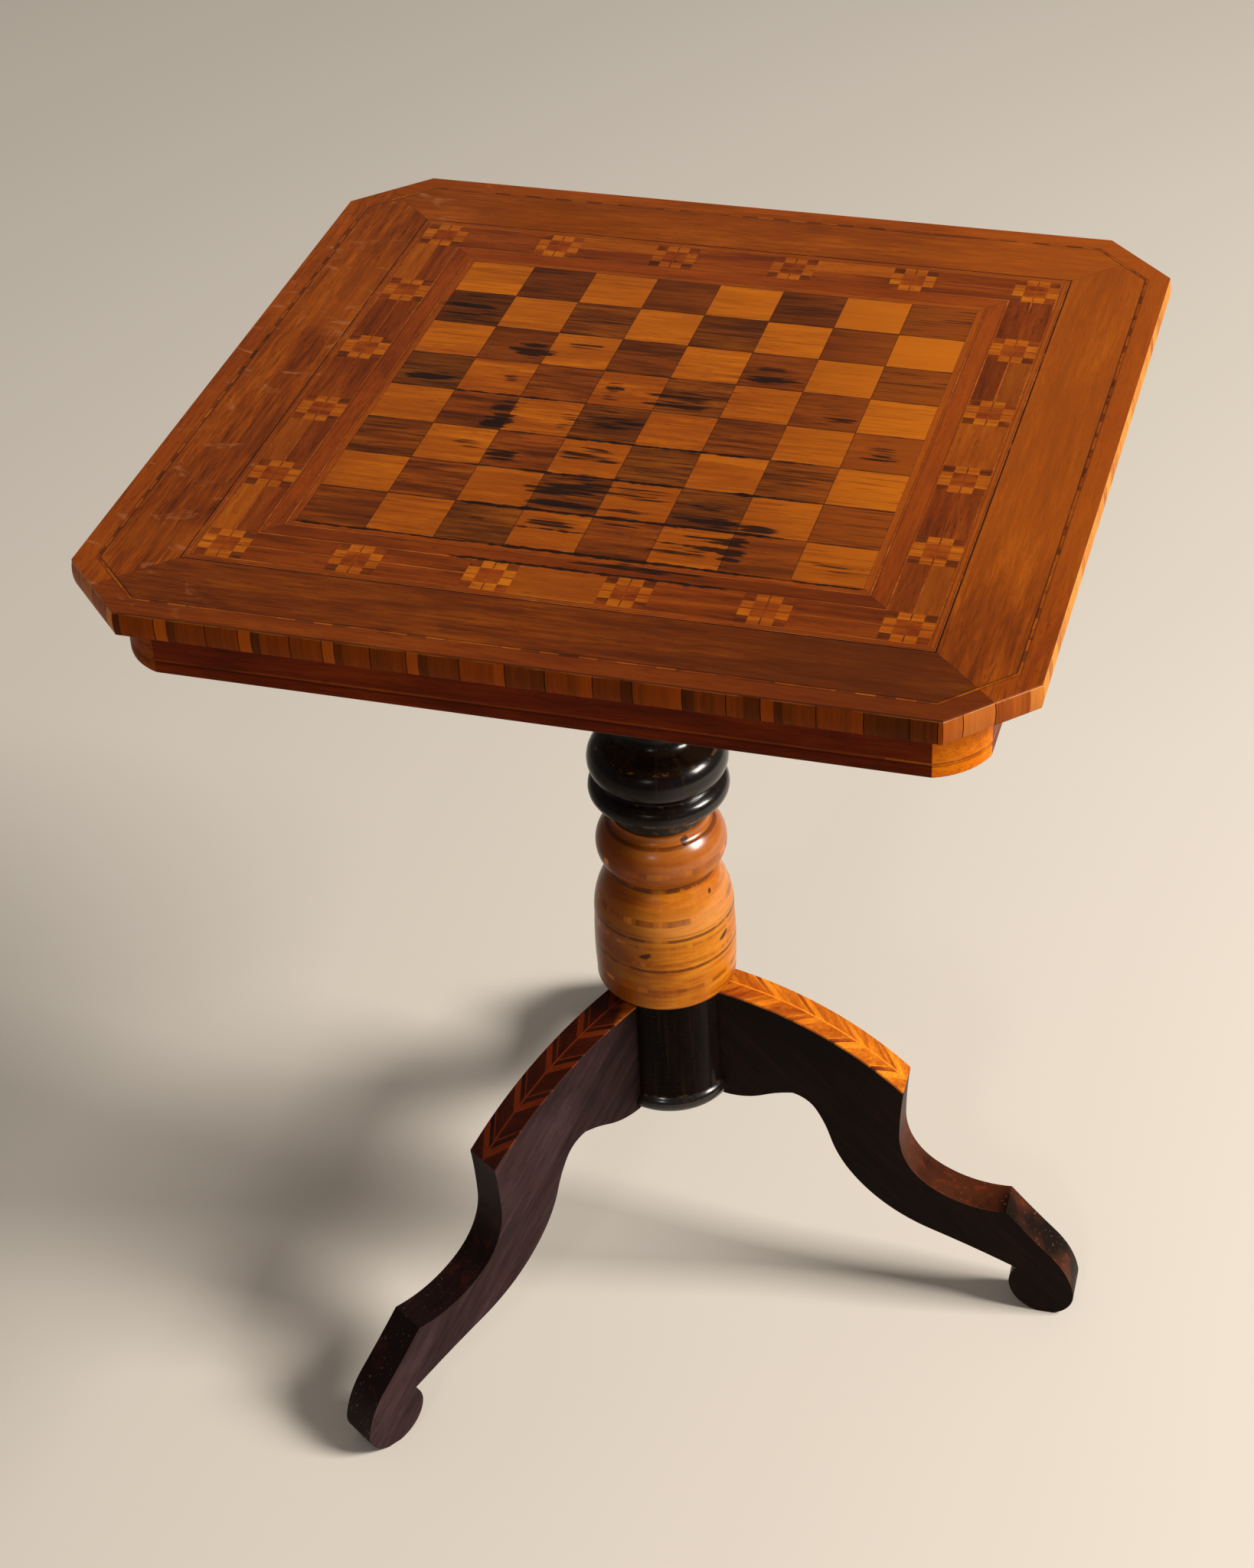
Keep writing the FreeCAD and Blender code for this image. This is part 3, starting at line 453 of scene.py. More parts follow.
class Lay(Enum):
    """The way the grain of a veneer runs."""

    LEFT_TO_RIGHT = "left to right"
    FRONT_TO_BACK = "front to back"
    UPRIGHT = "upright"
    ROUND_THE_BOARD = "along each side"


@dataclass(frozen=True)
class BoardPlan:
    """Measures of the board's inlay that the finishes follow."""

    square_width: float = 42.0 * MM
    square_depth: float = 41.0 * MM
    half_field_x: float = 168.0 * MM
    half_field_y: float = 164.0 * MM
    half_width: float = 280.5 * MM
    half_depth: float = 276.0 * MM
    corner_cut: float = 45.0 * MM
    mitre_shift: float = 4.3 * MM
    band_middle: float = 31.3 * MM
    flowers_per_side: int = 6
    under: float = 692.0 * MM
    core_top: float = 706.8 * MM
    top: float = 708.0 * MM
    # Where light is painted along the board's right side.
    painted_light_x: Pair = (40.0 * MM, 200.0 * MM)
    painted_light_y: Pair = (-220.0 * MM, -60.0 * MM)


PLAN = BoardPlan()


@dataclass(frozen=True)
class Mark:
    """A burn or dark streaks, placed in squares from the field's front left corner."""

    across: float
    up: float
    half_width: float
    half_depth: float
    strength: float


MARKS = [
    Mark(*row)
    for row in (
        (1.8, 5.45, 0.34, 0.24, 0.8), (1.72, 4.5, 0.16, 0.1, 0.6), (1.9, 3.45, 0.26, 0.44, 0.95),
        (1.65, 2.55, 0.36, 0.12, 0.62), (2.25, 2.35, 0.26, 0.32, 0.62),
        (3.5, 1.5, 0.64, 0.54, 0.7), (4.5, 0.95, 0.9, 0.16, 0.66), (5.65, 0.9, 0.46, 0.6, 0.6),
        (2.95, 1.05, 0.4, 0.1, 0.8), (3.45, 3.6, 0.56, 0.38, 0.6), (3.5, 2.5, 0.5, 0.34, 0.42),
        (4.3, 4.4, 0.52, 0.46, 0.6), (7.55, 3.45, 0.34, 0.42, 0.62), (5.5, 1.25, 0.54, 0.34, 0.85),
        (6.05, 0.6, 0.24, 0.56, 0.75), (4.5, 1.3, 0.56, 0.24, 0.72), (4.5, 1.7, 0.5, 0.3, 0.45),
        (3.5, 0.7, 0.5, 0.24, 0.36), (5.4, 0.4, 0.56, 0.16, 0.66), (4.95, -0.2, 0.95, 0.12, 0.85),
        (0.45, 6.4, 0.6, 0.44, 0.52), (6.2, 1.15, 0.36, 0.12, 0.6), (3.3, 4.4, 0.16, 0.34, 0.5),
        (2.9, 3.45, 0.24, 0.24, 0.5), (5.45, 5.3, 0.46, 0.3, 0.46), (6.5, 4.4, 0.5, 0.3, 0.44),
        (6.5, 2.4, 0.5, 0.3, 0.42), (2.5, 5.6, 0.3, 0.3, 0.42), (7.5, 0.5, 0.52, 0.3, 0.4),
        (0.5, 4.4, 0.5, 0.3, 0.42),
    )
]
SOOT = tone(24, 10, 4)


@dataclass(frozen=True)
class Seam:
    """A dark open joint along a row of squares, measured in squares."""

    up: float
    start: float
    end: float
    half: float


SEAMS = [
    Seam(*row)
    for row in (
        (0.01, 3.0, 5.9, 1.15), (0.0, 0.0, 8.0, 0.5), (1.0, 2.1, 5.2, 1.0), (1.01, 5.9, 6.4, 1.3),
        (2.0, 3.2, 5.0, 0.95), (3.0, 3.0, 5.6, 0.55), (4.0, 1.0, 2.6, 0.55),
        (0.54, 3.02, 3.98, 0.6), (0.56, 5.02, 5.98, 0.5), (-0.39, 2.4, 6.2, 0.75),
    )
]


def grain_of(graph: Graph, lay: Lay, shift: Input = 0.0) -> Value:
    """Turns the place so that its first part runs with the grain.

    Args:
        graph: The material's graph.
        lay: The way the grain runs.
        shift: A number that moves the pattern, so that pieces don't match.

    Returns:
        The turned place.
    """
    x, y, z = graph.parts
    if lay is Lay.LEFT_TO_RIGHT:
        along, across, deep = x, y, z
    elif lay is Lay.FRONT_TO_BACK:
        along, across, deep = y, x, z
    elif lay is Lay.UPRIGHT:
        along, across, deep = z, x, y
    else:
        side = board_side(graph)
        along = graph.choose(side, x, y)
        across = graph.choose(side, y, x)
        deep = z
    return graph.join(along, across, deep + shift)


def board_side(graph: Graph) -> Value:
    """One on the left and right parts of the mitred board, zero in front and behind."""
    x, y, _ = graph.parts
    return (abs(x) - abs(y)) > PLAN.mitre_shift


def side_number(graph: Graph) -> Value:
    """Zero in front, one behind, two on the left and three on the right.

    Args:
        graph: The material's graph.

    Returns:
        The side's number.
    """
    x, y, _ = graph.parts
    side = board_side(graph)
    return side * (2.0 + (x > 0.0)) + (1 - side) * (y > 0.0)


def ring_distance(graph: Graph) -> Value:
    """How far outside the chess field a place lies."""
    x, y, _ = graph.parts
    return graph.either(abs(x) - PLAN.half_field_x, abs(y) - PLAN.half_field_y)


def rim_distance(graph: Graph) -> Value:
    """How far inside the board's eight edges a place lies.

    Args:
        graph: The material's graph.

    Returns:
        The distance in metres.
    """
    x, y, _ = graph.parts
    wide = PLAN.half_width - abs(x)
    deep = PLAN.half_depth - abs(y)
    reach = PLAN.half_width + PLAN.half_depth - PLAN.corner_cut
    cant = (reach - abs(x) - abs(y)) * math.sqrt(0.5)
    return graph.math("MINIMUM", graph.math("MINIMUM", wide, deep), cant)


def burn(graph: Graph) -> Value:
    """The burns and dark streaks over the board, from 0 to 1.

    Args:
        graph: The material's graph.

    Returns:
        The mask.
    """
    corner = (-PLAN.half_field_x, -PLAN.half_field_y)
    rough = graph.noise((40.0, 70.0, 20.0), 2.0)
    total = None
    for mark in MARKS:
        middle = (
            corner[0] + mark.across * PLAN.square_width,
            corner[1] + mark.up * PLAN.square_depth,
            PLAN.top,
        )
        spread = (
            1 / (mark.half_width * PLAN.square_width),
            1 / (mark.half_depth * PLAN.square_depth),
            0.0,
        )
        away = graph.length(
            graph.vector("MULTIPLY", graph.vector("SUBTRACT", graph.place, middle), spread)
        )
        mask = graph.fall(away + (rough - 0.5) * 1.1, 0.30, 1.30) * mark.strength
        total = mask if total is None else graph.either(total, mask)
    coarse = graph.noise((14.0, 170.0, 40.0), 2.0, 0.6)
    thin = graph.noise((26.0, 430.0, 40.0), 2.0, 0.3)
    streaks = (coarse * 0.55 + thin * 0.45 - 0.5) * 5.4
    burnt = graph.rise(total + streaks, 0.42, 0.80) * graph.rise(total, 0.04, 0.26)
    return graph.either(burnt * 0.92, seams(graph))


def seams(graph: Graph) -> Value:
    """The widest open joints of the chess field, from 0 to 1.

    Args:
        graph: The material's graph.

    Returns:
        The mask.
    """
    x, y, _ = graph.parts
    wander = graph.noise((34.0, 34.0, 20.0), 1.0)
    ragged = graph.noise((150.0, 150.0, 20.0), 2.0)
    across = (x + PLAN.half_field_x) / PLAN.square_width
    level = y + PLAN.half_field_y + (wander - 0.5) * 1.6 * MM
    uneven = (ragged - 0.5) * 3.4 * MM
    total = None
    for seam in SEAMS:
        away = abs(level - seam.up * PLAN.square_depth) + uneven
        middle = (seam.start + seam.end) / 2
        reach = (seam.end - seam.start) / 2
        mask = graph.fall(away, seam.half * MM, (seam.half + 0.7) * MM)
        mask = mask * graph.near(across, middle, reach - 0.06, 0.16)
        total = mask if total is None else graph.either(total, mask)
    return total * 0.93


def painted_right_light(graph: Graph) -> Value:
    """One along the right side of the board, where light is painted onto its veneers."""
    x, y, _ = graph.parts
    return graph.rise(x, *PLAN.painted_light_x) * (graph.rise(y, *PLAN.painted_light_y) * 0.85 + 0.15)


def wear(graph: Graph) -> Value:
    """Soft stains and rubbed places over the whole board, from 0 to 1."""
    return graph.noise(7.0, 4.0, 0.5)


@dataclass(frozen=True)
class VeneerFinish:
    """Flat veneer whose grain runs one way, or along each side of the board.

    A ring line is a dark joint at a distance outside the chess field, and a rim line one at
    a distance inside the board's edge, each with its half width and strength.
    """

    name: str
    timber: Timber
    lay: Lay = Lay.ROUND_THE_BOARD
    front_shade: float = 0.42
    ring_lines: Sequence[Tuple[float, float, float]] = ()
    rim_lines: Sequence[Tuple[float, float, float]] = ()
    shaded_x: Pair = (0.0, 200.0 * MM)
    scuff_and_sheen_x: Pair = (-240.0 * MM, -160.0 * MM)
    polish: Polish = Polish()

    def build(self) -> Material:
        """Makes the material.

        Returns:
            The material.
        """
        graph = Graph(self.name)
        x, y, _ = graph.parts
        number = side_number(graph)
        grain = grain_of(graph, self.lay, number * 0.37)
        graph.colour, fibres = self.timber.figure(graph, grain)
        stain = wear(graph)
        dark = graph.rise(stain, 0.50, 0.68) * 0.45
        graph.lay(dark, self.timber.dark)
        mottle = graph.noise((44.0, 150.0, 150.0), 3.0, 1.0, where=grain)
        graph.lay(graph.rise(mottle, 0.48, 0.64) * 0.26, self.timber.dark)
        flecks = graph.noise((34.0, 480.0, 480.0), 2.0, 0.6, where=grain)
        graph.lay(graph.rise(flecks, 0.54, 0.66) * 0.4, self.timber.pore)
        # Lighter places: pale stains, painted light along the right side, and a lighter back side.
        pale = graph.either(graph.fall(stain, 0.32, 0.46) * 0.3, painted_right_light(graph) * 0.52)
        pale = graph.either(pale, graph.near(number, 1.0, 0.1, 0.2) * 0.22)
        graph.lay(pale, self.timber.light)
        # Painted shade on the front side, deeper towards the right.
        front = graph.fall(number, 0.2, 0.8) * (graph.rise(x, *self.shaded_x) * 0.7 + 1.0)
        front = front * self.front_shade
        graph.lay(front, self.timber.pore)
        # Pale patches on the left: partly scuffs, partly a painted sheen.
        scuff_and_sheen = graph.noise((38.0, 70.0, 20.0), 4.0, 1.0)
        scuff_and_sheen = graph.rise(scuff_and_sheen, 0.60, 0.72) * graph.fall(x, *self.scuff_and_sheen_x)
        graph.lay(scuff_and_sheen * 0.35, tone(186, 120, 74))
        graph.lay(burn(graph), SOOT)
        joint = graph.near(abs(x) - abs(y), PLAN.mitre_shift, 0.12 * MM, 0.4 * MM) * 0.45
        ragged = graph.noise(70.0, 2.0)
        for lines, distance in (
            (self.ring_lines, ring_distance(graph)),
            (self.rim_lines, rim_distance(graph)),
        ):
            for place, half, strength in lines:
                line = graph.near(distance, place, half, 0.5 * MM)
                line = line * graph.rise(ragged, 0.15, 0.45) * strength
                joint = graph.either(joint, line)
        graph.lay(joint, SOOT)
        height = fibres * 0.6 - joint
        return shaded(graph, height, self.polish, graph.rise(stain, 0.55, 0.8))


@dataclass(frozen=True)
class SquareFinish:
    """Chess squares: each has its own tint and figure, and dark open joints."""

    name: str
    timber: Timber
    other: Timber
    far: Colour
    near_shade: float
    drift: float = 0.5
    fleck: float = 0.45
    far_y: Pair = (20.0 * MM, 140.0 * MM)
    near_y: Pair = (-140.0 * MM, 0.0)
    torn_at: Pair = (20.0 * MM, -100.0 * MM)
    torn_x: Pair = (50.0 * MM, 140.0 * MM)
    torn_y: Pair = (20.0 * MM, 100.0 * MM)
    polish: Polish = Polish()

    def build(self) -> Material:
        """Makes the material.

        Returns:
            The material.
        """
        graph = Graph(self.name)
        x, y, _ = graph.parts
        across = (x + PLAN.half_field_x) / PLAN.square_width
        up = (y + PLAN.half_field_y) / PLAN.square_depth
        column = graph.math("FLOOR", across)
        row = graph.math("FLOOR", up)
        number = graph.lot(graph.join(column, row, 3.0))
        second = graph.lot(graph.join(row, column, 8.0))
        grain = grain_of(graph, Lay.LEFT_TO_RIGHT, number * 3.0)
        graph.colour, fibres = self.timber.figure(graph, grain)
        varied, _ = self.other.figure(graph, grain)
        graph.lay(graph.rise(second, 0.4, 0.9) * self.drift, varied)
        shade = graph.rise(number, 0.3, 1.0) * 0.35
        graph.lay(shade, self.timber.dark)
        graph.lay(graph.rise(y, *self.far_y) * 0.34, self.far)
        # Painted shade towards the front, and painted light along the right side.
        painted_near_shade = graph.fall(y, *self.near_y) * self.near_shade
        graph.lay(painted_near_shade, self.timber.dark)
        graph.lay(painted_right_light(graph) * 0.85, self.timber.light)
        flecks = graph.noise((20.0, 520.0, 520.0), 3.0, 1.0, where=grain)
        flecks = graph.rise(flecks, 0.52, 0.64) * graph.rise(second, 0.05, 0.7)
        graph.lay(flecks * self.fleck, self.timber.pore)
        graph.lay(burn(graph), SOOT)
        edge_x = (0.5 - abs(across - column - 0.5)) * PLAN.square_width
        edge_y = (0.5 - abs(up - row - 0.5)) * PLAN.square_depth
        ragged = graph.noise(50.0, 3.0)
        torn = graph.fall(abs(y - self.torn_at[1]), *self.torn_y)
        torn = torn * graph.fall(abs(x - self.torn_at[0]), *self.torn_x)
        upright = graph.fall(edge_x, 0.10 * MM, 0.55 * MM) * 0.6
        depth = edge_y - graph.rise(ragged, 0.42, 0.75) * (torn * 1.9 * MM + 0.5 * MM)
        level = graph.fall(depth, 0.15 * MM, 0.65 * MM) * (torn * 0.2 + 0.78)
        joint = graph.either(upright, level)
        graph.lay(joint, SOOT)
        height = fibres * 0.6 - joint
        return shaded(graph, height, self.polish)


@dataclass(frozen=True)
class TileFinish:
    """Small tiles and lines whose tint drifts from one to the next."""

    name: str
    timber: Timber
    other: Timber
    size: float = 7.0 * MM
    lay: Lay = Lay.LEFT_TO_RIGHT
    polish: Polish = Polish()

    def build(self) -> Material:
        """Makes the material.

        Returns:
            The material.
        """
        graph = Graph(self.name)
        grain = grain_of(graph, self.lay)
        graph.colour, fibres = self.timber.figure(graph, grain)
        varied, _ = self.other.figure(graph, grain)
        rate = 0.6 / self.size
        drift = graph.noise(rate, 1.0)
        graph.lay(graph.rise(drift, 0.40, 0.58), varied)
        graph.lay(burn(graph), SOOT)
        return shaded(graph, fibres * 0.6, self.polish)


@dataclass(frozen=True)
class PanelFinish:
    """Long panels of the flower band, each with its own wood."""

    name: str
    timber: Timber
    other: Timber
    pale_share: float
    polish: Polish = Polish()

    def build(self) -> Material:
        """Makes the material.

        Returns:
            The material.
        """
        graph = Graph(self.name)
        x, y, _ = graph.parts
        side = board_side(graph)
        steps = PLAN.flowers_per_side - 1
        pitch_x = 2 * (PLAN.half_field_x + PLAN.band_middle) / steps
        pitch_y = 2 * (PLAN.half_field_y + PLAN.band_middle) / steps
        index = graph.math("FLOOR", graph.choose(side, x / pitch_x, y / pitch_y) + 0.5)
        number = graph.lot(graph.join(index, side_number(graph), 5.0))
        second = graph.lot(graph.join(side_number(graph), index, 9.0))
        grain = grain_of(graph, Lay.ROUND_THE_BOARD, number * 2.0)
        graph.colour, fibres = self.timber.figure(graph, grain)
        pale, _ = self.other.figure(graph, grain)
        pale_here = number > 1 - self.pale_share
        graph.lay(pale_here * 0.85, pale)
        graph.lay(second * 0.45, self.timber.dark)
        graph.lay(burn(graph), SOOT)
        return shaded(graph, fibres * 0.6, self.polish)


@dataclass(frozen=True)
class DashFinish:
    """The slips of the dashed line, worn and stained, darkest along the right side."""

    name: str
    timber: Timber
    other: Timber
    kept: float
    stain: float
    inset: float = 19.0 * MM
    cant_run: Pair = (-6.0 * MM, -5.0 * MM)
    kept_run: Pair = (16.0 * MM, 17.0 * MM)
    line_inset: float = 14.8 * MM
    line_run: Pair = (0.35 * MM, 0.75 * MM)
    polish: Polish = Polish()

    def build(self) -> Material:
        """Makes the material.

        Returns:
            The material.
        """
        graph = Graph(self.name)
        grain = grain_of(graph, Lay.ROUND_THE_BOARD)
        graph.colour, fibres = self.timber.figure(graph, grain)
        varied, _ = self.other.figure(graph, grain)
        stained, _ = Wood.INK.figure(graph, grain)
        patch = graph.noise(24.0, 1.0)
        limit = 0.38 + self.kept * 0.2
        faded = graph.rise(patch, limit, limit + 0.05) * 0.62 + 0.38
        right = graph.rise(side_number(graph), 2.5, 2.9)
        faded = graph.either(faded, right * 0.9)
        graph.lay(faded, varied)
        ticks = graph.rise(graph.noise(70.0, 1.0), 0.40, 0.50)
        graph.lay(right * ticks * self.stain, stained)
        x, y, _ = graph.parts
        inset = PLAN.half_width + PLAN.half_depth - PLAN.corner_cut - self.inset
        start, end = self.cant_run
        cant = graph.rise(abs(x) + abs(y), inset + start, inset + end)
        middle = abs(abs(x) - abs(y) - (PLAN.half_width - PLAN.half_depth))
        kept_here = graph.fall(middle, *self.kept_run)
        kept_here = kept_here * (1 - 0.6 * (x > 0.0))
        slip, _ = Wood.FLOWER.figure(graph, grain)
        graph.lay(cant, graph.mix(kept_here * 0.8, varied, slip))
        edge = abs(rim_distance(graph) - self.line_inset)
        shown = graph.choose(cant, 0.45 - right * 0.2, kept_here * 0.6)
        line = graph.rise(edge, *self.line_run) * shown
        graph.lay(line, SOOT)
        return shaded(graph, fibres * 0.6 - line, self.polish)


@dataclass(frozen=True)
class EdgeFinish:
    """Short cross-grained blocks of the edge moulding.

    The mesh carries a shade for each strip of wood, from 0 for black-brown to 1 for orange.
    """

    name: str
    stops: Stops
    slant: float = 0.0
    top_rub: Colour = tone(176, 104, 44)
    polish: Polish = Polish(0.40, 0.16, 0.03, 0.00018)

    def build(self) -> Material:
        """Makes the material.

        Returns:
            The material.
        """
        graph = Graph(self.name)
        x, y, z = graph.parts
        shade = graph.mark("shade")
        height = z - PLAN.under
        run_x = x + height * self.slant
        run_y = y + height * self.slant
        grain = graph.join(z * 0.7, run_x, run_y + shade)
        wide = graph.noise((8.0, 90.0, 90.0), 2.0, 0.4, where=grain)
        lines = graph.noise((16.0, 420.0, 420.0), 2.0, 0.2, where=grain)
        fibres = graph.noise((40.0, 1100.0, 1100.0), 1.0, where=grain)
        spread = (wide - 0.5) * 0.32 + (lines - 0.5) * 0.30 + (fibres - 0.5) * 0.14
        graph.colour = graph.ramp(shade + spread, self.stops)
        joint = graph.mark("joint")
        graph.lay(joint * 0.85, SOOT)
        patch = graph.noise(60.0, 3.0)
        rub = graph.rise(z, PLAN.core_top - 0.9 * MM, PLAN.core_top - 0.2 * MM)
        rub = rub * graph.rise(patch, 0.35, 0.60)
        graph.lay(rub * 0.75, self.top_rub)
        return shaded(graph, fibres * 0.7 - joint, self.polish)


def edge_stops(*colours: Point) -> Stops:
    """The edge moulding's colours, from its darkest strips of wood to its lightest."""
    return list(zip((0.0, 0.25, 0.45, 0.7, 0.95), (tone(*colour) for colour in colours)))


EDGE_DARK = edge_stops((66, 27, 3), (94, 40, 4), (128, 53, 5), (150, 64, 6), (168, 78, 10))
# The right side's ramp: the same wood with painted light.
EDGE_PAINTED_LIGHT = edge_stops(
    (118, 58, 10), (168, 94, 18), (192, 118, 28), (206, 132, 38), (218, 150, 58)
)
EDGE_CANT = edge_stops((72, 28, 10), (124, 54, 15), (158, 78, 24), (176, 96, 38), (200, 122, 50))


@dataclass(frozen=True)
class TimberFinish:
    """Plain timber with the grain one way."""

    name: str
    timber: Timber
    lay: Lay
    polish: Polish = Polish()
    shadow_line: float = 0.0
    # A darker wood left of the split, as painted shade.
    painted_shade_timber: Optional[Timber] = None
    split: float = 0.0

    def build(self) -> Material:
        """Makes the material.

        Returns:
            The material.
        """
        graph = Graph(self.name)
        grain = grain_of(graph, self.lay)
        graph.colour, fibres = self.timber.figure(graph, grain)
        if self.painted_shade_timber is not None:
            x, _, _ = graph.parts
            other, _ = self.painted_shade_timber.figure(graph, grain)
            graph.colour = graph.mix(x > self.split, other, graph.colour)
        stain = graph.noise((12.0, 12.0, 30.0), 3.0)
        graph.lay(graph.rise(stain, 0.5, 0.7) * 0.35, self.timber.dark)
        if self.shadow_line > 0:
            _, _, z = graph.parts
            line = graph.near(z, self.shadow_line, 0.3 * MM, 0.5 * MM)
            graph.lay(line * 0.6, self.timber.pore)
        return shaded(graph, fibres, self.polish)


@dataclass(frozen=True)
class MetalFinish:
    """Aged metal with a brushed, spotted surface."""

    name: str
    colour: Colour
    tarnish: Colour
    roughness: float = 0.36

    def build(self) -> Material:
        """Makes the material.

        Returns:
            The material.
        """
        graph = Graph(self.name)
        spots = graph.noise(180.0, 4.0)
        lines = graph.noise((60.0, 2400.0, 900.0), 1.0)
        colour = graph.mix(graph.rise(spots, 0.45, 0.7), self.colour, self.tarnish)
        inputs = {
            "Base Color": colour,
            "Metallic": 1.0,
            "Roughness": self.roughness + spots * 0.2,
            "Normal": graph.relief(METAL_RELIEF, BRUSHED_DEPTH, lines),
        }
        return graph.close(inputs)


@dataclass(frozen=True)
class ColumnPlan:
    """Measures of the column."""

    x: float = -5.9 * MM
    y: float = -1.8 * MM
    stem_bottom: float = 183.39 * MM
    stem_top: float = 267.0 * MM
    vase_length: float = 139.0 * MM
    block_bottom: float = 652.0 * MM
    block_top: float = 691.7 * MM
    stem_radius: float = 42.0 * MM
    vase_radius: float = 48.2 * MM
    upper_radius: float = 47.1 * MM
    cap_radius: float = 45.5 * MM
    cap_thickness: float = 12.5 * MM
    tenon_radius: float = 17.0 * MM

    @property
    def vase_top(self) -> float:
        """Level of the joint between the amber and the black turning."""
        return self.stem_top + self.vase_length


COLUMN = ColumnPlan()


def round_place(graph: Graph) -> Parts:
    """The angle round the column in turns, the reach from its axis and the height.

    Args:
        graph: The material's graph.

    Returns:
        The angle, the reach and the height.
    """
    x, y, z = graph.parts
    dx = x - COLUMN.x
    dy = y - COLUMN.y
    turn = graph.math("ARCTAN2", dy, dx) / (2 * math.pi)
    reach = graph.math("SQRT", dx * dx + dy * dy)
    return turn, reach, z


def round_grain(graph: Graph, pull: float) -> Value:
    """A place for turned wood: its pattern is drawn out round the axis.

    Args:
        graph: The material's graph.
        pull: How much less the pattern changes round the axis than along it.

    Returns:
        The place.
    """
    x, y, z = graph.parts
    return graph.join((x - COLUMN.x) * pull, (y - COLUMN.y) * pull, z)


@dataclass(frozen=True)
class Ring:
    """A turned line or a row of small blocks round the amber part."""

    level: float
    half: float
    strength: float
    blocks: int = 0


